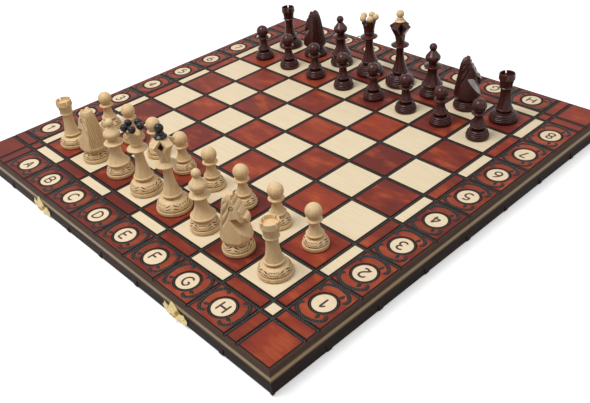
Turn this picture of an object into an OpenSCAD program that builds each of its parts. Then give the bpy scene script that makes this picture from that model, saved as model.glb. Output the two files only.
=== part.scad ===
// Folding chess box: two shallow wooden trays hinged at the middle of the board.
// Opened flat it is the playing board, folded shut it is the box for its men.
// X runs along the files A to H, Y along the ranks 1 to 8, Z is up.
// The origin is under the fold, at the height of the lowest point of the hinges.

/* [Board] */
// Side of one square of the playing field
square = 53; // [50:0.5:60]
// Width of the plain strip round the playing field
strip_w = 16; // [12:0.5:22]
// Width of the outer ring that carries the letters and numbers
ring_w = 42; // [38:0.5:50]
// Width of the carved lines between the squares
line_w = 3.6; // [2:0.1:5]
// Depth of the carved lines
line_d = 1; // [0.4:0.1:1.6]
// Width of the round letter and number fields
medallion_d = 23; // [16:0.5:26]
// Width of the beaded ring carved round each medallion
medallion_ring = 2.6; // [1.5:0.1:4]
// Bevel along the outer edges of the board
bevel = 1.5; // [0.5:0.1:2.5]

/* [Box] */
// Height of one half of the box
half_h = 30; // [29:0.5:40]
// Thickness of the board panel
panel_t = 6; // [4:0.5:8]
// Thickness of the rails round each half
wall_t = 10; // [8:0.5:14]
// Gap between the two halves along the fold
fold_gap = 0.3; // [0.1:0.05:0.8]
// Gap between the two rims when the box is shut
shut_gap = 0.2; // [0.1:0.05:0.6]
// Thickness of the felt in the bottom of each half
lining_t = 1; // [0.6:0.1:2]

/* [Banding] */
// Width of the pale strip let into the outer faces
band_w = 5.6; // [3:0.1:6]
// Height of the lower edge of the pale strip above the rim
band_z = 16.2; // [14:0.2:17]
// Depth of the pale strip
band_t = 1; // [0.6:0.1:2]
// Number of carved arches along a whole side of the open board
arch_count = 8; // [4:2:12]
// Height of the carved arches
arch_h = 11; // [8:0.5:12]
// Width of the plain foot between two arches
arch_land = 6; // [3:0.5:10]
// Depth of the carved arches
arch_d = 0.8; // [0.4:0.1:1.2]
// Radius of the shoulders of an arch
arch_round = 7; // [4:0.5:7.5]

/* [Hinges] */
// Distance of each hinge from the middle of the box
hinge_x = 165; // [120:1:190]
// Length of a hinge
hinge_len = 36; // [28:1:50]
// Width of a hinge leaf from the pin outwards
leaf_w = 7.6; // [7:0.1:7.8]
// Thickness of a hinge leaf
leaf_t = 1; // [0.8:0.1:1.4]
// Outside diameter of the hinge knuckles
knuckle_d = 3.2; // [2.8:0.1:4]
// Diameter of the hinge pin
hinge_pin_d = 1.6; // [1.2:0.1:1.8]
// Clearance of the pin in its knuckles, on the radius
pin_clear = 0.05; // [0.02:0.01:0.1]
// Gap between two knuckles and round them in the rails
knuckle_gap = 0.2; // [0.1:0.05:0.4]
// Number of knuckles on one hinge
knuckle_count = 5; // [3:2:7]
// Diameter of the shank of a hinge screw
screw_d = 1.8; // [1.4:0.1:2.2]
// Diameter of the countersunk head of a hinge screw
screw_head_d = 3.8; // [3.4:0.1:4.2]
// Length of a hinge screw
screw_len = 9; // [6:0.5:14]
// Distance of a hinge screw from the middle of its leaf
screw_x = 11; // [8:0.5:12]

/* [Clasps] */
// Distance of each clasp from the middle of the pair
clasp_x = 130; // [100:0.5:150]
// Distance of the middle of the pair from the middle of the box, towards the H file
clasp_shift = 7; // [0:0.5:9]
// Thickness of the brass plates
plate_t = 0.8; // [0.6:0.1:1.1]
// Length of a catch plate
catch_len = 38; // [34:0.5:44]
// Height of a catch plate, up to the tip of its middle lobe
catch_h = 22.2; // [20:0.2:23.6]
// Height of the lower edge of a catch plate above the rim
catch_low = 0.4; // [0.2:0.1:0.8]
// Height of the nails of a catch plate above the rim
catch_nail_z = 7.6; // [7:0.1:8.2]
// Width of the hook raised from the catch plate
hook_w = 4.4; // [3:0.1:4.6]
// Thickness of the metal of the hook
hook_t = 1.2; // [0.8:0.1:1.4]
// Radius of the mouth of the hook
hook_mouth_r = 1.3; // [1.1:0.05:1.4]
// Height of the hook's mouth above the rim
hook_z = 7.6; // [7.2:0.1:7.8]
// Length of the lip that stands above the mouth
hook_lip = 0.7; // [0.3:0.1:1.2]
// Diameter of the wire of a loop
wire_d = 1.6; // [1.2:0.1:1.8]
// Clearance of the wire in its barrel, on the radius
wire_clear = 0.05; // [0.02:0.01:0.1]
// Width of a loop between the middles of its legs
loop_w = 12.6; // [12:0.1:15]
// Height of a loop above its barrel, along the middle of the wire
loop_h = 20.2; // [20:0.1:20.6]
// Height of the straight part of a loop's legs
loop_leg = 11; // [9:0.5:12]
// Radius of the point of a loop
loop_tip_r = 2.4; // [1.8:0.1:3]
// Radius of the lower bends of a loop
loop_bend_r = 2; // [1.6:0.1:2.4]
// Height of a loop's barrel above the rim
barrel_z = 11.5; // [11.3:0.1:11.7]
// Distance from the middle of the wire to the outer face of the box
wire_off = 2.1; // [2:0.05:2.3]
// Wall of the rolled barrel
barrel_wall = 0.8; // [0.6:0.1:1]
// Gap between a leaning loop and the edge of the board
lean_gap = 0.2; // [0.1:0.05:0.4]
// Length of a loop plate
loop_plate_len = 26; // [24:0.5:32]
// Height of a loop plate
loop_plate_h = 9; // [7:0.5:11]
// Diameter of the domed head of a clasp nail
nail_head_d = 2.2; // [1.8:0.1:2.6]
// Diameter of the shank of a clasp nail
nail_d = 1.2; // [0.8:0.1:1.6]
// Length of a clasp nail under its head
nail_len = 7; // [4:0.5:8]

/* [Chessmen] */
// Thickness of the felt under each man
felt_t = 0.8; // [0.5:0.1:1.5]
// Height of the plain rim of every foot above the board
rim_h = 5; // [4:0.1:6]
// Thickness of the glue between felt or trim and the wood
glue_t = 0.02; // [0.01:0.01:0.05]
// Rounding of the edges of the turned rings
ring_round = 0.8; // [0.5:0.1:1]

/* [King] */
// Width of the king's foot
king_foot = 38.6; // [34:0.2:44]
// Height of the king's foot
king_foot_h = 18.5; // [16:0.5:21]
// Width of the ring above the foot
king_skirt = 22.4; // [20:0.2:25]
// Width of the stem at its thinnest
king_waist = 9.8; // [8:0.2:11.6]
// Length of the stem, from the foot to the collar
king_stem = 36; // [30:0.5:42]
// Width of the collar
king_collar = 23.4; // [20:0.2:26]
// Width of the crown across its flats
king_crown = 21.4; // [18:0.2:24]
// Height of the crown, from the collar to the knob
king_crown_h = 32; // [28:0.5:36]
// Width of the bottom of the knob
king_knob = 14; // [11:0.2:16]
// Height of the knob
king_knob_h = 15; // [13:0.5:18]

/* [Queen] */
// Width of the queen's foot
queen_foot = 37; // [33:0.2:42]
// Height of the queen's foot
queen_foot_h = 18; // [16:0.5:21]
// Width of the ring above the foot
queen_skirt = 22.6; // [19:0.2:25]
// Width of the stem at its thinnest
queen_waist = 10.4; // [8:0.2:11.6]
// Length of the stem, from the foot to the collar
queen_stem = 35; // [30:0.5:40]
// Width of the collar
queen_collar = 22.8; // [20:0.2:26]
// Width of the cup at its rim
queen_cup = 19.4; // [17:0.2:21]
// Height of the cup, from the collar to its rim
queen_cup_h = 24.5; // [21:0.5:28]
// Diameter of the beads on the cup
bead_d = 8.4; // [7.4:0.1:9]
// Width of the circle on which the beads sit
bead_ring = 18; // [17:0.2:19]
// Number of beads
bead_count = 5; // [4:1:6]

/* [Bishop] */
// Width of the bishop's foot
bishop_foot = 32; // [28:0.2:38]
// Height of the bishop's foot
bishop_foot_h = 15; // [13:0.5:18]
// Width of the ring above the foot
bishop_skirt = 27; // [23:0.2:28]
// Width of the stem at its thinnest
bishop_waist = 12.6; // [10:0.2:14]
// Length of the stem, from the foot to the collar
bishop_stem = 25; // [21:0.5:30]
// Width of the collar
bishop_collar = 22.4; // [19:0.2:25]
// Width of the neck between the collar and the head
bishop_neck = 9.2; // [7.6:0.2:11]
// Width of the head
bishop_head = 19; // [16:0.2:21]
// Height of the head, from the collar to the ball
bishop_head_h = 22; // [19:0.5:25]
// Diameter of the ball on the head
bishop_ball = 9.8; // [8:0.2:11]

/* [Knight] */
// Width of the knight's foot
knight_foot = 33; // [30:0.2:38]
// Height of the knight's foot
knight_foot_h = 15.4; // [13:0.2:18]
// Height of the horse's head above the foot
knight_head_h = 52; // [46:0.5:58]
// Width of the hollow between the knight's foot and the horse
knight_hollow = 23; // [20:0.5:26]
// Thickness of the horse at its foot
knight_neck_t = 28; // [24:0.5:31]
// Thickness of the horse at its ears
knight_poll_t = 12.4; // [10:0.2:14]
// Diameter of the ring punched for an eye
knight_eye = 4.6; // [3.6:0.2:5.4]
// Number of grooves carved in each side of the mane
mane_grooves = 5; // [3:1:6]
// Distance between two grooves of the mane
mane_pitch = 2; // [1.7:0.1:2.2]
// Depth of a groove in the mane
mane_groove_d = 0.7; // [0.4:0.1:0.8]

/* [Rook] */
// Width of the rook's foot
rook_foot = 34.4; // [30:0.2:40]
// Height of the rook's foot
rook_foot_h = 14.5; // [13:0.5:17]
// Width of the ring above the foot
rook_skirt = 20.8; // [18:0.2:22]
// Width of the stem at its thinnest
rook_waist = 12.2; // [10:0.2:12.6]
// Length of the stem, from the foot to the head
rook_stem = 28; // [24:0.5:33]
// Width of the head at its rim
rook_head = 19; // [17.4:0.2:22]
// Height of the head
rook_head_h = 18; // [15:0.5:21]
// Depth of the hollow in the head
rook_hollow = 4; // [2.5:0.5:6]
// Width of the slits in the rim of the head
rook_slit = 1.8; // [1:0.1:3]

/* [Pawn] */
// Width of the pawn's foot
pawn_foot = 27; // [24:0.2:32]
// Height of the pawn's foot
pawn_foot_h = 14; // [12:0.5:16]
// Width of the ring above the foot
pawn_skirt = 18.4; // [15:0.2:20]
// Width of the stem at its thinnest
pawn_waist = 9.8; // [8:0.2:10.6]
// Length of the stem, from the foot to the collar
pawn_stem = 17; // [14:0.5:20]
// Width of the collar
pawn_collar = 17; // [15:0.2:19]
// Diameter of the ball
pawn_ball = 16.8; // [15:0.2:19]

/* [Hidden] */

$fn = 48;
FIELD = 8;                                  // squares along one side of the playing field
far = 1;                                    // how far a cutter runs past what it cuts

field_r = FIELD / 2 * square;               // middle of the board to the edge of the field
strip_r = field_r + strip_w;                // to the outer edge of the plain strip
board_r = strip_r + ring_w;                 // to the outer face of the box
medallion_r = strip_r + (ring_w - bevel) / 2; // to the row of medallions
fold_y = fold_gap / 2;                      // the hinge face of each half
axis_z = knuckle_d / 2;                     // height of the hinge pins
rim_z = axis_z + shut_gap / 2;              // the rims, which face down when the board is open
top_z = rim_z + half_h;                     // the playing surface
panel_z = top_z - panel_t;                  // top of the rails
rail_h = half_h - panel_t;
arch_pitch = 2 * board_r / arch_count;
lip_gap = hook_mouth_r * 2;                 // the slot that takes the wire
barrel_r = wire_d / 2 + wire_clear + barrel_wall;
loop_r = wire_d / 2;
bezel_z = top_z - bevel - rim_z - barrel_z; // from the barrel up to the edge that the loop leans on
lean = atan((wire_off - loop_r - lean_gap) / bezel_z);
nail_edge = 0.8;                            // brass left outside the head of a nail
nail_x_catch = catch_len * 0.34;            // the nails go through the side lobes of the leaf
nail_x_loop = loop_plate_len / 2 - nail_head_d / 2 - nail_edge;

// ---------------------------------------------------------------- colours
CREAM = [0.86, 0.77, 0.60];
MAHOGANY = [0.45, 0.10, 0.07];
WALNUT = [0.20, 0.12, 0.12];
MAPLE = [0.72, 0.62, 0.42];
FELT = [0.10, 0.25, 0.12];
BRASS = [0.78, 0.70, 0.45];
WHITE_WOOD = [0.83, 0.70, 0.47];
BLACK_WOOD = [0.14, 0.04, 0.04];

// ---------------------------------------------------------------- helpers
// The black half is the mirror image of the white half across the fold.
module black_side() { mirror([0, 1, 0]) children(); }
module both_x(x) {
    for (s = [-1, 1]) translate([s * x, 0, 0]) children();
}
// The two clasps sit on both sides of a point a little off the middle of the box.
module at_clasps() {
    translate([clasp_shift, 0, 0]) both_x(clasp_x) children();
}
// A plan outline carried up from z by h.
module slab(points, z, h) {
    translate([0, 0, z]) linear_extrude(height = h) polygon(points);
}
// A profile drawn in Y and Z, carried along X for a length, middle at x = 0.
module along_x(length) {
    translate([-length / 2, 0, 0]) rotate([90, 0, 90]) linear_extrude(height = length) children();
}
// A profile drawn in X and Z, carried into the board from the outer face by a depth.
module into_end(depth) {
    translate([0, -board_r, 0]) rotate([90, 0, 0]) mirror([0, 0, 1])
        linear_extrude(height = depth) children();
}
// Points of an arc from angle a0 to angle a1.
function arc(c, r, a0, a1, n = 8) =
    [for (i = [0:n]) c + r * [cos(a0 + (a1 - a0) * i / n), sin(a0 + (a1 - a0) * i / n)]];

// ---------------------------------------------------------------- board panel
// One carved line as long as the board, along X at y or along Y at x.
module line_x(y) {
    translate([-board_r - far, y - line_w / 2, top_z - line_d])
        cube([2 * (board_r + far), line_w, line_d + far]);
}
module line_y(x) {
    translate([x - line_w / 2, -board_r - far, top_z - line_d])
        cube([line_w, board_r + 2 * far, line_d + far]);
}

module carved_lines() {
    for (rank = [1:FIELD / 2]) line_x(-rank * square);
    line_x(-strip_r);
    line_x(0);
    for (file = [-FIELD / 2:FIELD / 2]) line_y(file * square);
    for (s = [-1, 1]) line_y(s * strip_r);
}

module medallion_ring_at(x, y) {
    translate([x, y, top_z - line_d])
        difference() {
            cylinder(h = line_d + far, d = medallion_d + 2 * medallion_ring);
            translate([0, 0, -far]) cylinder(h = line_d + 3 * far, d = medallion_d);
        }
}

module medallion_rings() {
    for (file = [0:FIELD - 1]) medallion_ring_at((file + 0.5) * square - field_r, -medallion_r);
    for (s = [-1, 1], rank = [0:FIELD / 2 - 1]) medallion_ring_at(s * medallion_r, -(rank + 0.5) * square);
}

module bevel_end() {
    y = -board_r - far;
    along_x(2 * board_r + 2 * far)
        polygon([[y, top_z - bevel - far], [y, top_z + far], [-board_r + bevel + far, top_z + far]]);
}
module bevel_side(s) {
    rotate([0, 0, s * 90]) bevel_end();
}

// Plan of a sheet that reaches r to the sides and the end, and up to y from the fold.
function half_plan(r, y) = [[-r, -r], [r, -r], [r, -y], [-r, -y]];

module board_panel() {
    difference() {
        slab(half_plan(board_r, fold_y), panel_z, panel_t);
        carved_lines();
        medallion_rings();
        bevel_end();
        for (s = [-1, 1]) bevel_side(s);
    }
}

// ---------------------------------------------------------------- rails
// Half of the arch outline's width, between two plain feet.
arch_half = (arch_pitch - arch_land) / 2;

module arch_outline() {
    translate([-arch_half, -far]) square([2 * arch_half, arch_h - arch_round + far]);
    translate([-arch_half + arch_round, 0]) square([2 * (arch_half - arch_round), arch_h]);
    for (s = [-1, 1]) translate([s * (arch_half - arch_round), arch_h - arch_round]) circle(r = arch_round);
}

// The arches of the end rail, as cutters sunk into its outer face.
module end_arches() {
    for (i = [0:arch_count - 1])
        translate([(i + 0.5) * arch_pitch - board_r, 0, rim_z])
            translate([0, -far, 0]) into_end(arch_d + far) arch_outline();
}

// The arches of one side rail: the left one for s = -1, the right one for s = 1.
module side_arches(s) {
    for (i = [0:arch_count / 2 - 1])
        translate([0, -(i + 0.5) * arch_pitch, rim_z])
            rotate([0, 0, s * 90]) translate([0, -far, 0]) into_end(arch_d + far) arch_outline();
}

// The plan of a ring of rails, mitred at its corners: a from the outer face, b from the outer face.
function end_plan(a, b) =
    let (p = board_r - a, q = board_r - b)
    [[-p, -p], [p, -p], [q, -q], [-q, -q]];
function side_plan(s, a, b) =
    let (p = board_r - a, q = board_r - b)
    [[s * p, -p], [s * p, -fold_y - a], [s * q, -fold_y - b], [s * q, -q]];
function hinge_plan(b) =
    let (p = board_r, q = board_r - b)
    [[-p, -fold_y], [p, -fold_y], [q, -fold_y - b], [-q, -fold_y - b]];

module band_groove() {
    slab(end_plan(0, band_t), rim_z + band_z, band_w);
    for (s = [-1, 1]) slab(side_plan(s, 0, band_t), rim_z + band_z, band_w);
}

// The end rail, less the holes of the nails handed in.
module end_rail() {
    difference() {
        slab(end_plan(0, wall_t), rim_z, rail_h);
        end_arches();
        band_groove();
        children();
    }
}

module side_rail(s) {
    difference() {
        slab(side_plan(s, 0, wall_t), rim_z, rail_h);
        side_arches(s);
        band_groove();
    }
}

module banding() { band_groove(); }

module felt_lining() {
    r = board_r - wall_t - glue_t;
    slab(half_plan(r, fold_y + wall_t + glue_t), panel_z - lining_t, lining_t);
}

// ---------------------------------------------------------------- hinges
knuckle_pitch = (hinge_len + knuckle_gap) / knuckle_count;
knuckle_len = knuckle_pitch - knuckle_gap;
leaf_y = knuckle_d / 2 + knuckle_gap;       // where the leaf starts, clear of the other half's knuckles
screw_y = (leaf_y + leaf_w) / 2;

// Positions of the knuckles of one half: the white half has the outer ones.
function knuckle_xs(first) =
    [for (i = [first:2:knuckle_count - 1]) (i + 0.5) * knuckle_pitch - (hinge_len + knuckle_gap) / 2];

module pin_bore(d, length) {
    translate([-length / 2, 0, axis_z]) rotate([0, 90, 0]) cylinder(h = length, d = d);
}

module screw_shape() {
    translate([0, 0, rim_z]) cylinder(h = leaf_t, d1 = screw_head_d, d2 = screw_d);
    translate([0, 0, rim_z]) cylinder(h = screw_len, d = screw_d);
}
module screw_places() {
    both_x(hinge_x) both_x(screw_x) translate([0, -screw_y, 0]) children();
}

module leaf(first) {
    difference() {
        union() {
            translate([-hinge_len / 2, -leaf_w, rim_z]) cube([hinge_len, leaf_w - leaf_y, leaf_t]);
            for (x = knuckle_xs(first)) translate([x, 0, 0]) {
                pin_bore(knuckle_d, knuckle_len);
                translate([-knuckle_len / 2, -leaf_y - leaf_t, rim_z])
                    cube([knuckle_len, leaf_y + leaf_t, leaf_t]);
            }
        }
        pin_bore(hinge_pin_d + 2 * pin_clear, hinge_len + 2 * far);
    }
}

module hinge_leaves(first) {
    difference() {
        both_x(hinge_x) leaf(first);
        screw_places() screw_shape();
    }
}

module hinge_screws() { screw_places() screw_shape(); }

module hinge_pin_pair() { both_x(hinge_x) pin_bore(hinge_pin_d, hinge_len); }

module hinge_rail() {
    difference() {
        slab(hinge_plan(wall_t), rim_z, rail_h);
        both_x(hinge_x) {
            translate([-hinge_len / 2 - knuckle_gap, -leaf_w, rim_z - far])
                cube([hinge_len + 2 * knuckle_gap, leaf_w + far, leaf_t + far]);
            pin_bore(knuckle_d + 2 * knuckle_gap, hinge_len + 2 * knuckle_gap);
        }
        hinge_screws();
    }
}

// ---------------------------------------------------------------- clasps
// Right half of a catch plate's leafy outline, for a plate 2 wide and 1 high: a tall middle lobe,
// a small upper lobe and a pointed side lobe.
LEAF_EDGE = [[0, 1], [0.07, 0.965], [0.17, 0.88], [0.31, 0.73], [0.37, 0.60], [0.45, 0.535], [0.57, 0.535],
             [0.68, 0.58], [0.80, 0.63], [0.825, 0.53], [0.87, 0.46], [1, 0.38], [0.95, 0.24], [0.87, 0.12],
             [0.72, 0], [0.56, 0.02], [0.40, 0.05], [0.22, 0.02], [0, 0]];

module catch_outline() {
    scaled = [for (p = LEAF_EDGE) [p[0] * catch_len / 2, p[1] * catch_h + rim_z + catch_low]];
    polygon(concat(scaled, [for (i = [len(scaled) - 2:-1:1]) [-scaled[i][0], scaled[i][1]]]));
}

// The hook is a strip rolled up and outwards, drawn in Y and Z. Its mouth opens away from the rim.
module hook_outline() {
    c = [-board_r - wire_off, rim_z + hook_z];
    r1 = hook_mouth_r;
    r2 = hook_mouth_r + hook_t;
    intersection() {
        difference() {
            union() {
                translate(c) circle(r = r2);
                translate([c[0] - r2, c[1]]) square([hook_t, hook_lip]);
                translate([c[0] - r2 + hook_t / 2, c[1] + hook_lip]) circle(d = hook_t);
            }
            translate(c) circle(r = r1);
            translate([c[0] - r1, c[1]]) square([r1 + r2 + far, r2 + far]);
            translate([c[0] - r2 - far, c[1] + hook_lip + hook_t / 2]) square([r2 + far, r2]);
        }
        hook_room(c, r2);
    }
}
// The hook keeps outside the face of the plate, and its upper left quarter is the lip alone.
module hook_room(c, r2) {
    difference() {
        translate([c[0] - r2 - far, c[1] - r2 - far])
            square([-board_r - plate_t / 2 - (c[0] - r2 - far), 2 * (r2 + far) + hook_lip]);
        translate([c[0] - r2 + hook_t, c[1]]) square([2 * r2, 2 * r2]);
    }
}

module catch_pair() {
    difference() {
        at_clasps() {
            translate([0, -plate_t, 0]) into_end(plate_t) catch_outline();
            along_x(hook_w) hook_outline();
        }
        catch_nail_pins();
    }
}

module nail() {
    rotate([90, 0, 0]) {
        translate([0, 0, -nail_len]) cylinder(h = nail_len, d = nail_d);
        intersection() {
            sphere(d = nail_head_d);
            cylinder(h = nail_head_d, d = nail_head_d + far);
        }
    }
}
module catch_nail_pins() {
    at_clasps() both_x(nail_x_catch) translate([0, -board_r - plate_t, rim_z + catch_nail_z]) nail();
}
module loop_nail_pins() {
    at_clasps() both_x(nail_x_loop) translate([0, -board_r - plate_t, rim_z + barrel_z]) nail();
}

module barrel(d, length) {
    translate([-length / 2, -board_r - wire_off, rim_z + barrel_z])
        rotate([0, 90, 0]) cylinder(h = length, d = d);
}

module loop_plate_outline() {
    r = loop_plate_h / 2;
    translate([0, rim_z + barrel_z]) {
        square([loop_plate_len - 2 * r, loop_plate_h], center = true);
        for (s = [-1, 1]) translate([s * (loop_plate_len / 2 - r), 0]) circle(r = r);
    }
}

barrel_len = loop_w - 2 * loop_bend_r - 2 * knuckle_gap;

module loop_plate_pair() {
    difference() {
        at_clasps() {
            translate([0, -plate_t, 0]) into_end(plate_t) loop_plate_outline();
            barrel(2 * barrel_r, barrel_len);
        }
        at_clasps() barrel(wire_d + 2 * wire_clear, barrel_len + 2 * far);
        loop_nail_pins();
    }
}

// A loop lies in X and Z about the middle of its barrel: a base bar, two legs and a pointed arch.
arch_rise = loop_h - loop_tip_r - loop_leg;
shoulder_r = (pow(loop_w / 2, 2) + pow(arch_rise, 2) - pow(loop_tip_r, 2)) / (loop_w - 2 * loop_tip_r);
shoulder_a = asin(arch_rise / (shoulder_r - loop_tip_r));
tip_a = 180 - 2 * shoulder_a;               // the two shoulders and the tip make half a turn

module wire_bend(r, a0, a) {
    rotate([90, 0, 0]) rotate([0, 0, a0])
        rotate_extrude(angle = a) translate([r, 0]) circle(r = loop_r, $fn = 24);
}

// A small ball where two bends of a loop meet.
module shoulder_joint() {
    translate([loop_w / 2 - shoulder_r, 0, loop_leg]) rotate([0, -shoulder_a, 0])
        translate([shoulder_r, 0, 0]) sphere(r = loop_r + glue_t, $fn = 24);
}

module wire_loop() {
    translate([-(loop_w / 2 - loop_bend_r), 0, 0]) rotate([0, 90, 0])
        cylinder(h = loop_w - 2 * loop_bend_r, r = loop_r, $fn = 24);
    for (s = [0, 1]) mirror([s, 0, 0]) {
        translate([loop_w / 2 - loop_bend_r, 0, loop_bend_r]) wire_bend(loop_bend_r, -90, 90);
        translate([loop_w / 2, 0, loop_bend_r]) cylinder(h = loop_leg - loop_bend_r, r = loop_r, $fn = 24);
        translate([loop_w / 2 - shoulder_r, 0, loop_leg]) wire_bend(shoulder_r, 0, shoulder_a);
        shoulder_joint();
    }
    translate([0, 0, loop_h - loop_tip_r]) wire_bend(loop_tip_r, shoulder_a, tip_a);
}

// At rest a loop leans in against the edge of the board.
module clasp_loop(s) {
    translate([clasp_shift + s * clasp_x, -board_r - wire_off, rim_z + barrel_z])
        rotate([-lean, 0, 0]) wire_loop();
}

// ---------------------------------------------------------------- chessmen
WAIST_AT = 0.80;                            // where a stem is thinnest, as a part of its height
BEAD_TURN = 60;                             // how far round a ring is turned, up and down from its middle

// Outline of a foot: felt seat, plain rim, a carved ring and a round shoulder up to the neck.
function foot_outline(d, h, neck_r) =
    let (r = d / 2, e = ring_round, q = h - rim_h - e, cx = r - e - q,
         a = acos(max(0, min(1, (neck_r - cx) / q))))
    concat([[0, felt_t + glue_t], [r - e, felt_t + glue_t], [r, felt_t + e], [r, rim_h - e],
            [r - 2 * e, rim_h]],
           arc([cx, rim_h + e], q, 0, a));
// Hollow curve from p up to the waist w, and from the waist w up to p.
function scoop_r(a, b) = (a * a + b * b) / (2 * a);
function hollow_up(p, w, n = 6) =
    let (r = scoop_r(p[0] - w[0], w[1] - p[1]), t = asin((w[1] - p[1]) / r))
    [for (i = [0:n]) w + [r - r * cos(t * (1 - i / n)), -r * sin(t * (1 - i / n))]];
function hollow_out(w, p, n = 6) =
    let (r = scoop_r(p[0] - w[0], p[1] - w[1]), t = asin((p[1] - w[1]) / r))
    [for (i = [1:n]) w + [r - r * cos(t * i / n), r * sin(t * i / n)]];
// Outline of the ring above the foot and the waisted stem up to the collar.
function stem_outline(skirt_d, waist_d, z0, z1, top_r) =
    let (e = 1.5 * ring_round, r = skirt_d / 2, low = z0 + e, waist = z0 + (z1 - z0) * WAIST_AT)
    concat([[r - e, z0]], arc([r - e, low], e, -BEAD_TURN, BEAD_TURN, 4),
           hollow_up([r - e, low + e], [waist_d / 2, waist]), hollow_out([waist_d / 2, waist], [top_r, z1]));
// Outline of a collar whose top slopes up to the neck of the head.
function collar_outline(d, z, h, neck_r) =
    let (c = [d / 2 - ring_round, z + ring_round])
    concat([[d / 2 - 2 * ring_round, z]], arc(c, ring_round, -BEAD_TURN, BEAD_TURN, 4), [[neck_r, z + h]]);
function ball_outline(z, r, neck_r) = arc([0, z], r, -acos(neck_r / r), 90, 12);
function neck_of(skirt_d) = skirt_d / 2 - 3.5 * ring_round;

module turned(points) { rotate_extrude($fn = 64) polygon(points); }
module felt_disc(d) { cylinder(h = felt_t, d = d - 3 * ring_round); }

// Foot, stem and collar of a man, then the outline of his head, in one turning.
module turned_man(foot_d, foot_h, skirt_d, waist_d, stem, collar_d, collar_h, neck_r, head) {
    neck = neck_of(skirt_d);
    z1 = foot_h + stem;
    turned(concat(foot_outline(foot_d, foot_h, neck), [[neck, foot_h]],
                  stem_outline(skirt_d, waist_d, foot_h, z1, waist_d / 2 + ring_round / 2),
                  collar_d > 0 ? collar_outline(collar_d, z1, collar_h, neck_r) : [],
                  head));
}

pawn_collar_h = 4 * ring_round;
pawn_neck_r = pawn_ball / 2 * 0.62;         // the ball's neck, as a part of the ball
pawn_ball_z = pawn_foot_h + pawn_stem + pawn_collar_h + sqrt(pow(pawn_ball / 2, 2) - pow(pawn_neck_r, 2));

module pawn() {
    felt_disc(pawn_foot);
    turned_man(pawn_foot, pawn_foot_h, pawn_skirt, pawn_waist, pawn_stem, pawn_collar, pawn_collar_h,
               pawn_neck_r, ball_outline(pawn_ball_z, pawn_ball / 2, pawn_neck_r));
}

rook_head_z = rook_foot_h + rook_stem;
rook_rim_t = 2 * ring_round;
rook_flare_h = rook_head_h * 0.6;           // the head widens up to here, then its rim begins

module rook() {
    r = rook_head / 2;
    neck = rook_waist / 2 + 1.5 * ring_round;
    z = rook_head_z;
    flare = z + rook_flare_h;
    top = z + rook_head_h;
    bottom = top - rook_hollow;
    felt_disc(rook_foot);
    difference() {
        turned_man(rook_foot, rook_foot_h, rook_skirt, rook_waist, rook_stem, 0, 0, 0,
            concat([[neck + ring_round, z + ring_round], [neck, z + 2 * ring_round]],
                   hollow_out([neck, z + 2 * ring_round], [r - ring_round, flare]),
                   [[r - ring_round, flare + ring_round], [r, flare + 2 * ring_round],
                    [r - ring_round / 2, top], [r - rook_rim_t, top],
                    [r - rook_rim_t - ring_round, bottom], [0, bottom]]));
        for (a = [0, 90]) rotate([0, 0, a])
            translate([-r - far, -rook_slit / 2, bottom]) cube([2 * (r + far), rook_slit, rook_hollow + far]);
    }
}

bishop_collar_h = 5 * ring_round;
BISHOP_WIDE_AT = 0.44;                      // where the head is widest, as a part of its height
BISHOP_BALL_NECK = 0.7;                     // the neck under the ball, as a part of the ball
BISHOP_ROUND = 6;                           // how round the head is, in roundings of a ring

module bishop() {
    z = bishop_foot_h + bishop_stem + bishop_collar_h;
    r = bishop_head / 2;
    h = bishop_head_h - bishop_collar_h;
    neck = bishop_neck / 2;
    e = BISHOP_ROUND * ring_round;
    ball_neck = bishop_ball / 2 * BISHOP_BALL_NECK;
    wide_z = z + BISHOP_WIDE_AT * h;
    ball_z = z + h + sqrt(pow(bishop_ball / 2, 2) - pow(ball_neck, 2));
    felt_disc(bishop_foot);
    turned_man(bishop_foot, bishop_foot_h, bishop_skirt, bishop_waist, bishop_stem, bishop_collar,
        bishop_collar_h, neck,
        concat(arc([r - e, wide_z], e, -60, 50), [[ball_neck, z + h - ring_round]],
               ball_outline(ball_z, bishop_ball / 2, ball_neck)));
}

queen_collar_h = 5 * ring_round;
queen_rim_z = queen_foot_h + queen_stem + queen_cup_h;
bead_sink = 1.4 * ring_round;               // how deep a bead sits in the rim of the cup
bead_z = queen_rim_z + bead_d / 2 - bead_sink;
// Outline between the collar and the cup, in roundings of a ring from the neck.
QUEEN_NECK = [[0, 1], [1, 2], [1, 4], [1.6, 5], [1, 6]];
QUEEN_HOLLOW = 0.36;                        // depth of the hollow of the cup, as a part of the cup's height

module beads(d) {
    for (i = [0:bead_count - 1]) rotate([0, 0, i * 360 / bead_count])
        translate([bead_ring / 2, 0, bead_z]) sphere(d = d);
}

module queen() {
    r = queen_cup / 2;
    neck = queen_waist / 2 + ring_round;
    z = queen_foot_h + queen_stem + queen_collar_h;
    depth = queen_cup_h * QUEEN_HOLLOW;
    felt_disc(queen_foot);
    beads(bead_d);
    difference() {
        turned_man(queen_foot, queen_foot_h, queen_skirt, queen_waist, queen_stem, queen_collar,
            queen_collar_h, neck,
            concat([for (p = QUEEN_NECK) [neck + p[0] * ring_round, z + p[1] * ring_round]],
                   [[r - ring_round / 2, queen_rim_z - ring_round], [r, queen_rim_z],
                    [r - 2 * ring_round, queen_rim_z], [0, queen_rim_z - depth]]));
        for (i = [0:bead_count - 1]) rotate([0, 0, (i + 0.5) * 360 / bead_count])
            translate([0, 0, queen_rim_z + ring_round]) rotate([45, 0, 0])
                translate([0, -depth / 2, -depth / 2]) cube([r + far, depth, depth]);
        beads(bead_d + 2 * glue_t);
    }
}

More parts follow.
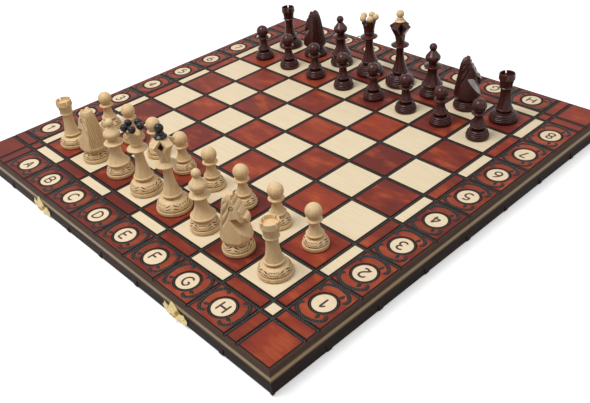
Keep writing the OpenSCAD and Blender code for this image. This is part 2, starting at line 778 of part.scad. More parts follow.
king_collar_h = 6 * ring_round;
king_top_z = king_foot_h + king_stem + king_crown_h;
CROWN_ROOF = 0.2;                           // height of the crown's roof, as a part of the crown
CROWN_FLAT = 0.8;                           // width of its flat top, as a part of the knob
CROWN_VALLEY = 0.30;                        // width of a valley, as a part of the crown
VALLEY_SLOPE = 33;                          // how steeply a valley falls outwards

// The crown is a four-sided head, wider at the top, with a low roof and a valley in each side.
module king_crown_shape() {
    z0 = king_foot_h + king_stem + king_collar_h;
    wide_z = king_top_z - king_crown_h * CROWN_ROOF;
    w0 = king_waist / 2 + ring_round / 2;
    w1 = king_crown / 2;
    w2 = king_knob / 2 * CROWN_FLAT;
    side = [[-w0, z0], [w0, z0], [w1, wide_z], [w2, king_top_z], [-w2, king_top_z], [-w1, wide_z]];
    valley = king_crown * CROWN_VALLEY;
    difference() {
        intersection() {
            along_x(2 * king_crown) polygon(side);
            rotate([0, 0, 90]) along_x(2 * king_crown) polygon(side);
        }
        for (a = [0:90:270]) rotate([0, 0, a])
            translate([w2 / 2, 0, king_top_z]) rotate([0, VALLEY_SLOPE, 0]) rotate([45, 0, 0])
                translate([0, -valley / 2, -valley / 2]) cube([king_crown, valley, valley]);
    }
}

// Knob of the crown above its ring, for a knob 1 wide on the radius and 1 high.
KNOB_STEM = [[0.62, 0.22], [0.66, 0.32], [0.50, 0.38]];
KNOB_BALL = 0.33;
KNOB_NECK = 0.45;

module king_knob_shape() {
    r = king_knob / 2;
    h = king_knob_h;
    z = king_top_z + glue_t;
    ball = h * KNOB_BALL;
    turned(concat([[0, z], [r - ring_round, z]],
                  arc([r - ring_round, z + ring_round], ring_round, -90, BEAD_TURN, 4),
                  [for (p = KNOB_STEM) [r * p[0], z + h * p[1]]],
                  ball_outline(z + h - ball, ball, r * KNOB_NECK)));
}

module king() {
    felt_disc(king_foot);
    z = king_foot_h + king_stem + king_collar_h + ring_round;
    turned_man(king_foot, king_foot_h, king_skirt, king_waist, king_stem, king_collar, king_collar_h,
        king_waist / 2, [[king_waist / 2, z], [0, z]]);
    king_crown_shape();
    king_knob_shape();
}

// Turned back of the horse, as distance from the axis and height, for a head 1 high.
HORSE_BACK = [[0.272, 0.005], [0.302, 0.022], [0.315, 0.055], [0.256, 0.444], [0.188, 0.81], [0.154, 0.90],
              [0.10, 1.02], [0, 1.02]];
// Side outline of the horse with its nose in +X, for a head 1 high. Its turned back lies inside it.
HORSE_SIDE = [[-0.36, -0.01], [-0.36, 0.90], [-0.115, 0.925], [-0.038, 1], [0.029, 0.935], [0.042, 0.858],
              [0.106, 0.762], [0.163, 0.675], [0.206, 0.598], [0.212, 0.55], [0.269, 0.521], [0.295, 0.48],
              [0.30, 0.444], [0.288, 0.367], [0.26, 0.358], [0.123, 0.521], [-0.019, 0.492], [0.077, 0.358],
              [0.192, 0.223], [0.288, 0.098], [0.36, 0.03], [0.36, -0.01]];
// Plan of the muzzle, and the heights between which it stands out of the turned body.
MUZZLE_PLAN = [[0, 0.17], [0.19, 0.144], [0.27, 0.105], [0.31, 0.065], [0.31, -0.065], [0.27, -0.105],
               [0.19, -0.144], [0, -0.17]];
MUZZLE_LOW = 0.30;
MUZZLE_HIGH = 0.58;
POLL_AT = 0.90;                             // height where the flanks end and the ears begin
EAR_IN = 0.62;                              // how far out the tips of the ears stand
EAR_NOTCH = 0.93;                           // height of the notch between the ears
EYE_AT = [0.02, 0.72];                      // middle of an eye, in the side outline
eye_cut = 0.5;                              // depth of the ring punched for an eye
eye_line = 0.8;                             // width of that ring
MANE_FROM = 0.12;                           // heights between which the mane is grooved
MANE_TO = 0.80;
MANE_START = 12;                            // angle from the middle of the back to the first groove

// Half the thickness of the horse at a height, and how much its flanks lean in.
function flank_at(v) = knight_neck_t / 2 - (knight_neck_t - knight_poll_t) / 2 * v / POLL_AT;
flank_lean = atan((knight_neck_t - knight_poll_t) / 2 / (knight_head_h * POLL_AT));

module horse_blank() {
    s = knight_head_h;
    n = flank_at(0);
    p = flank_at(POLL_AT);
    intersection() {
        union() {
            turned(concat([[0, 0], [knight_hollow / 2, 0]], HORSE_BACK * s));
            translate([0, 0, s * MUZZLE_LOW])
                linear_extrude(height = s * (MUZZLE_HIGH - MUZZLE_LOW)) polygon(MUZZLE_PLAN * s);
        }
        translate([0, s, 0]) rotate([90, 0, 0]) linear_extrude(height = 2 * s) polygon(HORSE_SIDE * s);
        along_x(2 * s)
            polygon([[-n, -far], [n, -far], [p, s * POLL_AT], [p * EAR_IN, s], [0, s * EAR_NOTCH],
                     [-p * EAR_IN, s], [-p, s * POLL_AT]]);
    }
}

// Eyes are rings punched into both flanks.
module eye_rings() {
    for (s = [0, 1]) mirror([0, s, 0])
        translate([knight_head_h * EYE_AT[0], flank_at(EYE_AT[1]), knight_head_h * EYE_AT[1]])
            rotate([flank_lean - 90, 0, 0]) translate([0, 0, -eye_cut])
                difference() {
                    cylinder(h = 2 * eye_cut, d = knight_eye);
                    translate([0, 0, -far]) cylinder(h = 3 * eye_cut, d = knight_eye - 2 * eye_line);
                }
}

// Grooves of the mane run down the turned back, on both sides of its smooth middle.
module mane_cuts() {
    low = HORSE_BACK[2];
    high = HORSE_BACK[4];
    slope = (low[0] - high[0]) / (high[1] - low[1]);
    middle = (MANE_FROM + MANE_TO) / 2;
    r = knight_head_h * (low[0] - slope * (middle - low[1]));
    side_of_cut = mane_groove_d * sqrt(2);
    for (side = [-1, 1], i = [0:mane_grooves - 1])
        rotate([0, 0, 180 + side * (MANE_START + i * mane_pitch / r * 180 / PI)])
            translate([r, 0, knight_head_h * middle]) rotate([0, -atan(slope), 0]) rotate([0, 0, 45])
                cube([side_of_cut, side_of_cut, knight_head_h * (MANE_TO - MANE_FROM)], center = true);
}

module knight() {
    neck = knight_hollow / 2;
    felt_disc(knight_foot);
    turned(concat(foot_outline(knight_foot, knight_foot_h - 2 * ring_round, neck),
                  [[neck, knight_foot_h + ring_round], [0, knight_foot_h + ring_round]]));
    translate([0, 0, knight_foot_h]) difference() {
        horse_blank();
        mane_cuts();
        eye_rings();
    }
}

// A man stands in the middle of his square: file 0 to 7 from A to H, rank 0 to 7 from 1 to 8.
module on_square(file, rank, turn = 0) {
    translate([(file + 0.5) * square - field_r, (rank + 0.5) * square - field_r, top_z])
        rotate([0, 0, turn]) children();
}
QUEEN_TURN = 34;                            // how the queens' beads are turned
WHITE_KNIGHT_TURNS = [188, 30];             // which way the noses of the knights on B1 and G1 point
BLACK_KNIGHT_TURNS = [176, 35];             // and those of the knights on B8 and G8
CROWN_TURN = 20;                            // how the kings' crowns are turned
BLACK_ROOK_TURN = 45;                       // how the slits of the black rooks are turned

module white_man(file, rank = 0, turn = 0) {
    color(WHITE_WOOD) on_square(file, rank, turn) children();
}
module black_man(file, rank = 7, turn = 0) {
    color(BLACK_WOOD) on_square(file, rank, turn) children();
}

// ---------------------------------------------------------------- sub-parts
module white_board_panel() { color(CREAM) board_panel(); }
module white_end_rail() { color(WALNUT) end_rail() catch_nail_pins(); }
module white_hinge_rail() { color(WALNUT) hinge_rail(); }
module white_side_rail_a() { color(WALNUT) side_rail(-1); }
module white_side_rail_h() { color(WALNUT) side_rail(1); }
module white_banding() { color(MAPLE) banding(); }
module white_felt_lining() { color(FELT) felt_lining(); }
module white_hinge_leaves() { color(BRASS) hinge_leaves(0); }
module white_hinge_screws() { color(BRASS) hinge_screws(); }
module hinge_pins() { color(BRASS) hinge_pin_pair(); }
module catch_plates() { color(BRASS) catch_pair(); }
module catch_nails() { color(BRASS) catch_nail_pins(); }
module black_board_panel() { color(MAHOGANY) black_side() board_panel(); }
module black_end_rail() { color(WALNUT) black_side() end_rail() loop_nail_pins(); }
module black_hinge_rail() { color(WALNUT) black_side() hinge_rail(); }
module black_side_rail_a() { color(WALNUT) black_side() side_rail(-1); }
module black_side_rail_h() { color(WALNUT) black_side() side_rail(1); }
module black_banding() { color(MAPLE) black_side() banding(); }
module black_felt_lining() { color(FELT) black_side() felt_lining(); }
module black_hinge_leaves() { color(BRASS) black_side() hinge_leaves(1); }
module black_hinge_screws() { color(BRASS) black_side() hinge_screws(); }
module loop_plates() { color(BRASS) black_side() loop_plate_pair(); }
module loop_nails() { color(BRASS) black_side() loop_nail_pins(); }
module clasp_loop_b() { color(BRASS) black_side() clasp_loop(-1); }
module clasp_loop_g() { color(BRASS) black_side() clasp_loop(1); }

white_board_panel();
white_end_rail();
white_hinge_rail();
white_side_rail_a();
white_side_rail_h();
white_banding();
white_felt_lining();
white_hinge_leaves();
white_hinge_screws();
hinge_pins();
catch_plates();
catch_nails();
black_board_panel();
black_end_rail();
black_hinge_rail();
black_side_rail_a();
black_side_rail_h();
black_banding();
black_felt_lining();
black_hinge_leaves();
black_hinge_screws();
loop_plates();
loop_nails();
clasp_loop_b();
clasp_loop_g();
white_man(0) rook();  // white_rook_a
white_man(1, 0, WHITE_KNIGHT_TURNS[0]) knight();  // white_knight_b
white_man(2) bishop();  // white_bishop_c
white_man(3, 0, QUEEN_TURN) queen();  // white_queen
white_man(4, 0, CROWN_TURN) king();  // white_king
white_man(5) bishop();  // white_bishop_f
white_man(6, 0, WHITE_KNIGHT_TURNS[1]) knight();  // white_knight_g
white_man(7) rook();  // white_rook_h
white_man(0, 1) pawn();  // white_pawn_a
white_man(1, 1) pawn();  // white_pawn_b
white_man(2, 1) pawn();  // white_pawn_c
white_man(3, 1) pawn();  // white_pawn_d
white_man(4, 1) pawn();  // white_pawn_e
white_man(5, 1) pawn();  // white_pawn_f
white_man(6, 1) pawn();  // white_pawn_g
white_man(7, 1) pawn();  // white_pawn_h
black_man(0, 7, BLACK_ROOK_TURN) rook();  // black_rook_a
black_man(1, 7, BLACK_KNIGHT_TURNS[0]) knight();  // black_knight_b
black_man(2) bishop();  // black_bishop_c
black_man(3, 7, QUEEN_TURN) queen();  // black_queen
black_man(4, 7, CROWN_TURN) king();  // black_king
black_man(5) bishop();  // black_bishop_f
black_man(6, 7, BLACK_KNIGHT_TURNS[1]) knight();  // black_knight_g
black_man(7, 7, BLACK_ROOK_TURN) rook();  // black_rook_h
black_man(0, 6) pawn();  // black_pawn_a
black_man(1, 6) pawn();  // black_pawn_b
black_man(2, 6) pawn();  // black_pawn_c
black_man(3, 6) pawn();  // black_pawn_d
black_man(4, 6) pawn();  // black_pawn_e
black_man(5, 6) pawn();  // black_pawn_f
black_man(6, 6) pawn();  // black_pawn_g
black_man(7, 6) pawn();  // black_pawn_h
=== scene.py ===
"""Dresses the packed folding chess box.

The halves, hinges and clasps keep the frame's solids and get finishes of wood, brass and felt.
Carved ropes, medallions and letters are laid into the board, and every man is turned or carved anew.
"""

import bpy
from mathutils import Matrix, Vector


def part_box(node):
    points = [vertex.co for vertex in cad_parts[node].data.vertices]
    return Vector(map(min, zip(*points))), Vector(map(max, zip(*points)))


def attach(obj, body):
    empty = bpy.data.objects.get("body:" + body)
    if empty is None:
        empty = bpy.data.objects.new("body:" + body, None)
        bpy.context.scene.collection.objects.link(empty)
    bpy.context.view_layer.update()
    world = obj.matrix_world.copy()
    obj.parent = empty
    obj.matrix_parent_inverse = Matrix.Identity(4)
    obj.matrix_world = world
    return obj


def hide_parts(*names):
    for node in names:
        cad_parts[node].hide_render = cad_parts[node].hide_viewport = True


bl_info = {
    "name": "Folding chess box",
    "version": (1, 0, 0),
    "blender": (4, 5, 0),
    "location": "3D View > Sidebar > Chess box",
    "description": "Finishes, carved ornament and turned men for a folding chess box",
    "category": "Object",
}

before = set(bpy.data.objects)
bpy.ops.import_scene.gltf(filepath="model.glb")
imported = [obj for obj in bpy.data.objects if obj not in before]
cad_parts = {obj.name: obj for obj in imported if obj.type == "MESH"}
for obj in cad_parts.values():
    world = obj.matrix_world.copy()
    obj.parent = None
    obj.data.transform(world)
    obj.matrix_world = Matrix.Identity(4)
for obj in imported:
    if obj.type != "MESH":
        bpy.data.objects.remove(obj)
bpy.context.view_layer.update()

import math
from functools import partialmethod
from types import SimpleNamespace

import bmesh
import bpy
from mathutils import Matrix, Vector

MM = 0.001
FILES = "abcdefgh"
FIELD = len(FILES)  # squares along one side of the playing field
PANEL_LOW, PANEL_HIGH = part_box("white_board_panel")
BOARD_R = PANEL_HIGH.x  # middle of the board to its outer faces
TOP_Z = PANEL_HIGH.z  # the playing surface
FOLD_Y = -PANEL_HIGH.y  # the fold's face of each half
SIDES = {"white": -1, "black": 1}  # the half of the board on each side of the fold


# ---------------------------------------------------------------- properties
def mm(label, size, text):
    """A length property, with its default in millimetres."""
    return bpy.props.FloatProperty(
        name=label, description=text, default=size * MM, min=0.0, precision=5, unit="LENGTH"
    )


def count(label, number, text):
    """A property that holds a whole number."""
    return bpy.props.IntProperty(name=label, description=text, default=number, min=1)


def linear(level):
    """One channel of a screen colour, from 0 to 255, as linear light."""
    part = level / 255
    return part / 12.92 if part <= 0.04045 else ((part + 0.055) / 1.055) ** 2.4


def tone(label, screen, text):
    """A colour property, with its default as a screen colour."""
    return bpy.props.FloatVectorProperty(
        name=label, description=text, subtype="COLOR", size=3, min=0.0, max=1.0,
        default=[linear(c) for c in screen],
    )


class BoardSizes(bpy.types.PropertyGroup):
    """Sizes of the board, as the part's source gives them."""
    square: mm("Square", 53, "Side of one square of the playing field")
    strip: mm("Strip", 16, "Width of the strip round the playing field")
    line: mm("Line", 3.6, "Width of a carved line")
    line_depth: mm("Line depth", 1, "Depth of a carved line")
    bevel: mm("Bevel", 1.5, "Bevel along the outer edges")
    disc: mm("Disc", 23, "Width of a letter's round field")
    disc_ring: mm("Ring", 2.6, "Width of the rope ring round a letter's field")
    wall: mm("Wall", 10, "Thickness of the rails")
    ring: mm("Outer ring", 42, "Width of the ring that carries the letters")


class CarvingSizes(bpy.types.PropertyGroup):
    """Sizes of the carved and burnt ornament."""
    rope_pitch: mm("Rope pitch", 2.5, "Length of one turn of the carved rope")
    rope_height: mm("Rope height", 0.95, "Height of the rope in a carved line")
    ear: mm("Ear width", 4.0, "Width of the rope of an ear beside a letter's field")
    ear_height: mm("Ear height", 0.5, "How far an ear stands above the board")
    stroke: mm("Stroke", 2.2, "Width of the strokes of a letter")
    letter: mm("Letter", 12, "Height of a letter")


class BoardTones(bpy.types.PropertyGroup):
    """Colours of the board's woods and stains."""
    cream: tone("Cream", (230, 212, 180), "Pale squares and letter fields")
    mahogany: tone("Mahogany", (150, 62, 42), "Stained squares")
    ember: tone("Ember", (186, 92, 56), "Bright patches of the stain")
    plum: tone("Plum", (104, 42, 36), "Dark patches of the stain")
    soot: tone("Soot", (22, 18, 17), "Burnt lines and carved rope")
    # The glint is wear and also a painted highlight: it lightens the tops of the rope's strands.
    glint: tone("Glint", (128, 118, 106), "Worn tops of the carved rope")
    side: tone("Side", (90, 68, 56), "Stained sides of the box")
    side_low: tone("Lower side", (42, 34, 31), "Carved lower part of the sides")
    inlay: tone("Inlay", (168, 138, 88), "Pale strip round the sides")
    bare: tone("Bare wood", (196, 164, 118), "Inner faces of the rails")


class MenTones(bpy.types.PropertyGroup):
    """Colours of the men, their trim and their felt."""
    maple: tone("Maple", (226, 196, 150), "White men")
    maple_dark: tone("Maple grain", (196, 156, 106), "Grain of the white men")
    rosewood: tone("Rosewood", (72, 28, 22), "Black men")
    rosewood_dark: tone("Rosewood grain", (34, 13, 11), "Grain of the black men")
    # This tone also paints the shade in the mane grooves of the white knights.
    burn_and_shade: tone("Burn", (62, 32, 18), "Burnt cuts in the feet")
    jet: tone("Jet", (22, 16, 18), "Dark beads and knobs")
    felt: tone("Felt", (46, 96, 48), "Felt under the men and in the box")
    brass: tone("Brass", (206, 184, 120), "Clasps and hinges")


class Turning(bpy.types.PropertyGroup):
    """Sizes that all the turned men share."""
    edge: mm("Edge", 0.8, "Rounding of the turned rings")
    rim: mm("Rim", 5, "Height of the plain rim of a foot")
    felt: mm("Felt", 0.8, "Thickness of the felt under a man")
    glue: mm("Glue", 0.02, "Thickness of the glue")


class PawnSizes(bpy.types.PropertyGroup):
    """Sizes of a pawn."""
    foot: mm("Foot", 27, "Width of the foot")
    foot_height: mm("Foot height", 14, "Height of the foot")
    skirt: mm("Skirt", 18.4, "Width of the ring above the foot")
    waist: mm("Waist", 9.8, "Width of the stem at its thinnest")
    stem: mm("Stem", 17, "Length of the stem")
    collar: mm("Collar", 17, "Width of the collar")
    ball: mm("Ball", 16.8, "Diameter of the ball")


class KnightSizes(bpy.types.PropertyGroup):
    """Sizes of a knight."""
    foot: mm("Foot", 33, "Width of the foot")
    foot_height: mm("Foot height", 15.4, "Height of the foot")
    skirt: mm("Hollow", 23, "Width of the hollow between the foot and the horse")
    head: mm("Head", 52, "Height of the horse above the foot")
    thick: mm("Thickness", 28, "Thickness of the horse at its foot")
    poll: mm("Poll", 12.4, "Thickness of the horse at its ears")
    eye: mm("Eye", 4.6, "Diameter of the ring burnt for an eye")
    pitch: mm("Mane", 2.2, "Distance between two grooves of the mane")
    grooves: count("Grooves", 6, "Number of grooves in each side of the mane")


class RookSizes(bpy.types.PropertyGroup):
    """Sizes of a rook."""
    foot: mm("Foot", 34.4, "Width of the foot")
    foot_height: mm("Foot height", 14.5, "Height of the foot")
    skirt: mm("Skirt", 20.8, "Width of the ring above the foot")
    waist: mm("Waist", 12.2, "Width of the stem at its thinnest")
    stem: mm("Stem", 28, "Length of the stem")
    head: mm("Head", 19, "Width of the head at its rim")
    head_height: mm("Head height", 18, "Height of the head")
    hollow: mm("Hollow", 4, "Depth of the hollow in the head")
    slit: mm("Slit", 1.8, "Width of the slits in the rim")


class BishopSizes(bpy.types.PropertyGroup):
    """Sizes of a bishop."""
    foot: mm("Foot", 32, "Width of the foot")
    foot_height: mm("Foot height", 15, "Height of the foot")
    skirt: mm("Skirt", 27, "Width of the ring above the foot")
    waist: mm("Waist", 12.6, "Width of the stem at its thinnest")
    stem: mm("Stem", 25, "Length of the stem")
    collar: mm("Collar", 22.4, "Width of the collar")
    neck: mm("Neck", 9.2, "Width of the neck between the collar and the head")
    head: mm("Head", 19, "Width of the head")
    head_height: mm("Head height", 22, "Height of the head")
    ball: mm("Ball", 9.8, "Diameter of the ball")


class QueenSizes(bpy.types.PropertyGroup):
    """Sizes of a queen."""
    foot: mm("Foot", 37, "Width of the foot")
    foot_height: mm("Foot height", 18, "Height of the foot")
    skirt: mm("Skirt", 22.6, "Width of the ring above the foot")
    waist: mm("Waist", 10.4, "Width of the stem at its thinnest")
    stem: mm("Stem", 35, "Length of the stem")
    collar: mm("Collar", 22.8, "Width of the collar")
    cup: mm("Cup", 19.4, "Width of the cup at its rim")
    cup_height: mm("Cup height", 24.5, "Height of the cup")
    bead: mm("Bead", 8.4, "Diameter of a bead")
    bead_ring: mm("Bead circle", 18, "Width of the circle of beads")
    beads: count("Beads", 5, "Number of beads")


class KingSizes(bpy.types.PropertyGroup):
    """Sizes of a king."""
    foot: mm("Foot", 38.6, "Width of the foot")
    foot_height: mm("Foot height", 18.5, "Height of the foot")
    skirt: mm("Skirt", 22.4, "Width of the ring above the foot")
    waist: mm("Waist", 9.8, "Width of the stem at its thinnest")
    stem: mm("Stem", 36, "Length of the stem")
    collar: mm("Collar", 23.4, "Width of the collar")
    crown: mm("Crown", 21.4, "Width of the crown across its flats")
    crown_height: mm("Crown height", 32, "Height of the crown")
    knob: mm("Knob", 14, "Width of the knob")
    knob_height: mm("Knob height", 15, "Height of the knob")


# ---------------------------------------------------------------- finishes
class Finish:
    """A material and the nodes that paint it."""

    def __init__(self, name):
        self.material = bpy.data.materials.new(name)
        self.material.use_nodes = True
        self.tree = self.material.node_tree
        self.shader = self.tree.nodes["Principled BSDF"]

    def node(self, kind, inputs=None, **settings):
        made = self.tree.nodes.new("ShaderNode" + kind)
        for key, value in settings.items():
            setattr(made, key, value)
        for key, value in (inputs or {}).items():
            self.feed(made.inputs[key], value)
        return made

    def feed(self, socket, value):
        if isinstance(value, bpy.types.NodeSocket):
            self.tree.links.new(value, socket)
        else:
            socket.default_value = value

    def math(self, operation, *values):
        made = self.node("Math", operation=operation)
        for socket, value in zip(made.inputs, values):
            self.feed(socket, value)
        return made.outputs[0]

    plus = partialmethod(math, "ADD")
    minus = partialmethod(math, "SUBTRACT")
    times = partialmethod(math, "MULTIPLY")
    ratio = partialmethod(math, "DIVIDE")
    power = partialmethod(math, "POWER")
    most = partialmethod(math, "MAXIMUM")
    least = partialmethod(math, "MINIMUM")
    above = partialmethod(math, "GREATER_THAN")
    below = partialmethod(math, "LESS_THAN")
    size = partialmethod(math, "ABSOLUTE")

    def mix(self, part, first, second):
        """Goes from the first colour to the second while the part goes from 0 to 1."""
        made = self.node("Mix", data_type="RGBA")
        for number, value in ((0, part), (6, first), (7, second)):
            self.feed(made.inputs[number], colour(value))
        return made.outputs[2]

    def ramp(self, value, low, high, start=0.0, end=1.0):
        """Runs smoothly from start to end while the value goes from low to high."""
        ends = {0: value, 1: low, 2: high, 3: start, 4: end}
        return self.node("MapRange", ends, interpolation_type="SMOOTHSTEP").outputs[0]

    def veil(self, paint, tone, pattern, low, high, share):
        """Lays a share of a tone over the paint, where the pattern rises from low to high."""
        return self.mix(self.times(self.ramp(pattern, low, high), share), paint, tone)

    def where(self):
        """The place on the piece, as a vector and as its three parts."""
        place = self.node("TexCoord").outputs["Object"]
        return place, self.node("SeparateXYZ", {0: place}).outputs

    def noise(self, place, scale, stretch=(1, 1, 1), detail=3.0, rough=0.55):
        moved = self.node("Mapping", {"Vector": place, "Scale": stretch}).outputs[0]
        made = self.node("TexNoise", {"Vector": moved, "Scale": scale, "Detail": detail, "Roughness": rough})
        return made.outputs["Fac"]

    def bump(self, height, depth, strength=1.0):
        made = self.node("Bump", {"Height": height, "Strength": strength, "Distance": depth})
        self.feed(self.shader.inputs["Normal"], made.outputs[0])

    def set(self, **sockets):
        for name, value in sockets.items():
            self.feed(self.shader.inputs[name.replace("_", " ")], colour(value))
        return self.material


def colour(value):
    """A colour property as the four numbers that a colour socket takes."""
    if isinstance(value, (float, int, bpy.types.NodeSocket)):
        return value
    return (*value, 1.0) if len(value) == 3 else value


# ---------------------------------------------------------------- meshes
class Shell:
    """Points, faces and the burn and painted shade of each point, gathered before they become a mesh."""

    def __init__(self):
        self.points, self.faces, self.burns_and_shade = [], [], []

    def skin(self, rows, burns_and_shade=None, wrap=True, caps=True):
        """Skins rows of points. A row of one point is a pole, and wrap joins each row's end to its start."""
        starts = []
        for number, row in enumerate(rows):
            starts.append(len(self.points))
            self.points.extend(row)
            self.burns_and_shade.extend(burns_and_shade[number] if burns_and_shade else [0.0] * len(row))
        for low, high, a, b in zip(rows, rows[1:], starts, starts[1:]):
            wide = max(len(low), len(high))
            for j in range(wide if wrap else wide - 1):
                k = (j + 1) % wide
                under = [a] if len(low) == 1 else [a + j, a + k]
                over = [b] if len(high) == 1 else [b + k, b + j]
                self.faces.append(under + over)
        if caps:
            for row, start, turn in ((rows[0], starts[0], -1), (rows[-1], starts[-1], 1)):
                if len(row) > 2:
                    self.faces.append([start + j for j in range(len(row))][::turn])
        return self

    def patch(self, ring, burn_and_shade=0.0):
        """Adds one face with points of its own."""
        start = len(self.points)
        self.points.extend(ring)
        self.burns_and_shade.extend([burn_and_shade] * len(ring))
        self.faces.append(list(range(start, start + len(ring))))

    def join(self, other, at=Vector()):
        """Adds the faces of another shell, moved by a step."""
        first = len(self.points)
        self.points.extend(Vector(p) + at for p in other.points)
        self.burns_and_shade.extend(other.burns_and_shade)
        self.faces.extend([first + c for c in face] for face in other.faces)

    def mesh(self, name, sharp=35):
        data = bpy.data.meshes.new(name)
        data.from_pydata([tuple(p) for p in self.points], [], self.faces)
        burn_and_shade = data.attributes.new("burn_and_shade", "FLOAT", "POINT")
        burn_and_shade.data.foreach_set("value", self.burns_and_shade)
        data.polygons.foreach_set("use_smooth", [True] * len(data.polygons))
        data.set_sharp_from_angle(angle=math.radians(sharp))
        data.update()
        return data


def piece(name, data, material, body, nodes=(), place=None):
    """Shows a mesh as a piece of a body, in place of the frame's nodes that it stands for."""
    made = bpy.data.objects.new(name, data)
    bpy.context.scene.collection.objects.link(made)
    if place is not None:
        made.matrix_world = place
    if not data.materials:
        data.materials.append(material)
    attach(made, body)
    if nodes:
        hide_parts(*nodes)
    return made


def dress(material, *nodes):
    """Gives the frame's nodes a finish."""
    for node in nodes:
        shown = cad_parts[node]
        shown.data.materials.clear()
        shown.data.materials.append(material)


def arc(centre, radius, start, end, steps=14):
    """Points of an arc, with its angles in degrees."""
    turns = [math.radians(start + (end - start) * i / steps) for i in range(steps + 1)]
    return [(centre[0] + radius * math.cos(t), centre[1] + radius * math.sin(t)) for t in turns]


def smooth(points, steps=6, closed=False):
    """A smooth curve through the points."""
    last = len(points) - 1
    pick = (lambda i: points[i % len(points)]) if closed else (lambda i: points[min(max(i, 0), last)])
    curve = []
    for i in range(len(points) if closed else last):
        p = [Vector(pick(i + k)) for k in (-1, 0, 1, 2)]
        for step in range(steps):
            t = step / steps
            bend, twist = 2 * p[0] - 5 * p[1] + 4 * p[2] - p[3], 3 * p[1] - p[0] - 3 * p[2] + p[3]
            curve.append(0.5 * (2 * p[1] + (p[2] - p[0]) * t + bend * t ** 2 + twist * t ** 3))
    return curve if closed else curve + [Vector(points[-1])]


def evenly(path, gap, closed=False):
    """The path again, in equal steps of about the gap."""
    path = [Vector(p) for p in path] + ([Vector(path[0])] if closed else [])
    lengths = [(b - a).length for a, b in zip(path, path[1:])]
    total = sum(lengths)
    steps = max(2, round(total / gap))
    spaced, passed, i = [], 0.0, 0
    for step in range(steps if closed else steps + 1):
        want = total * step / steps
        while i < len(lengths) - 1 and passed + lengths[i] < want:
            passed += lengths[i]
            i += 1
        spaced.append(path[i].lerp(path[i + 1], (want - passed) / lengths[i]))
    return spaced


ROPE_POINTS = 5  # points along one turn of a rope
ROPE_SLANT = 0.42  # how far a strand leans from the middle of the rope to its edge, in turns
ROPE_GROOVE = 0.25  # height that is left between two strands, as a share of the rope
TIP = 0.25  # width that is left at a pointed end, as a share of the band
SUNK = 0.1 * MM  # how deep the edges of a band run into what carries it


def band(shell, path, width, height, floor, pitch=None, reach=(-1.0, 1.0), closed=False, pointed=0.0):
    """A rounded band along a path in the board, twisted like a rope where it has a pitch.

    reach is the part of its width that is made, and pointed the share of its length that narrows at each end.
    """
    across = 7 if pitch else 5
    path = evenly(path, pitch / ROPE_POINTS if pitch else width / 2, closed)
    last = len(path) - 1
    gap = (path[1] - path[0]).length
    rows, burns_and_shade = [], []
    for i, here in enumerate(path):
        before = path[i - 1] if i or closed else here
        after = path[(i + 1) % len(path)] if i < last or closed else here
        along = (after - before).normalized()
        side = Vector((-along.y, along.x))
        share = min(i, last - i) / max(1, last)
        narrow = min(1.0, TIP + (1 - TIP) * math.sqrt(min(1.0, share / pointed))) if pointed else 1.0
        row, burn_and_shade = [], []
        for j in range(across):
            v = reach[0] + (reach[1] - reach[0]) * j / (across - 1)
            lobe = abs(math.sin(math.pi * (i * gap / pitch + ROPE_SLANT * v))) ** 0.7 if pitch else 1.0
            swell = math.sqrt(max(0.0, 1 - v * v)) * (ROPE_GROOVE + (1 - ROPE_GROOVE) * lobe)
            spot = here + side * (v * width / 2 * narrow)
            row.append((spot.x, spot.y, floor + height * narrow * swell))
            # Low on each strand's crest, where the rope's finish lays its wear and painted highlight.
            burn_and_shade.append(1 - swell)
        row += [(row[-1][0], row[-1][1], floor - SUNK), (row[0][0], row[0][1], floor - SUNK)]
        rows.append(row)
        burns_and_shade.append(burn_and_shade + [1.0, 1.0])
    if closed:
        rows.append(rows[0])
        burns_and_shade.append(burns_and_shade[0])
    return shell.skin(rows, burns_and_shade, caps=not closed)


# ---------------------------------------------------------------- wood, brass and felt
def board_pattern(f, x, y, sizes):
    """The fields of the board at each place, and how far it lies from the lines, all in squares."""
    square, half = sizes.square, FIELD / 2
    strip = half + sizes.strip / square
    disc_row = strip + (sizes.ring - sizes.bevel) / 2 / square
    ring_row = half + 0.9  # the ring counts as one more row of squares
    u, v = f.ratio(x, square), f.ratio(y, square)
    cell = [f.math("FLOOR", f.plus(f.least(f.most(w, -ring_row), ring_row), half + 1)) for w in (u, v)]
    a, b = f.size(u), f.size(v)
    outer, inner = f.most(a, b), f.least(a, b)
    in_ring = f.above(outer, strip)
    has_disc = f.times(in_ring, f.below(inner, half))
    along = f.minus(f.math("FRACT", inner), 0.5)
    across = f.minus(outer, disc_row)
    far = f.math("SQRT", f.plus(f.power(along, 2.0), f.power(across, 2.0)))
    disc = f.times(has_disc, f.below(far, sizes.disc / 2 / square))
    chequer = f.math("MODULO", f.plus(*cell), 2.0)
    pale = f.most(f.times(chequer, f.minus(1.0, in_ring)), disc)

    def to_line(w):
        near = f.math("ROUND", f.least(w, half))
        return f.least(f.size(f.minus(w, near)), f.size(f.minus(w, strip)))

    def charred(gap, reach, fade):
        return f.ramp(gap, reach, reach + fade, 1.0, 0.0)

    line, half_line = f.least(to_line(a), to_line(b)), sizes.line / 2 / square
    ring_gap = f.size(f.minus(far, (sizes.disc + sizes.disc_ring) / 2 / square))
    ring_gap = f.plus(ring_gap, f.minus(1.0, has_disc))
    edge_gap = f.minus(BOARD_R / square, outer)
    burnt = charred(line, half_line + 0.005, 0.015)
    burnt = f.most(burnt, charred(ring_gap, sizes.disc_ring / 2 / square, 0.01))
    burnt = f.most(burnt, charred(edge_gap, (sizes.bevel + MM) / square, 0.6 * MM / square))
    return SimpleNamespace(cell=cell, pale=pale, in_ring=in_ring, has_disc=has_disc, along=along,
                           across=across, line=line, half_line=half_line, burnt=burnt)


# The brighter wood inside an ear: the middle of an oval and its half sizes, in squares.
EAR_MIDDLE, EAR_HALF_LONG, EAR_HALF_WIDE = 0.30, 0.11, 0.23


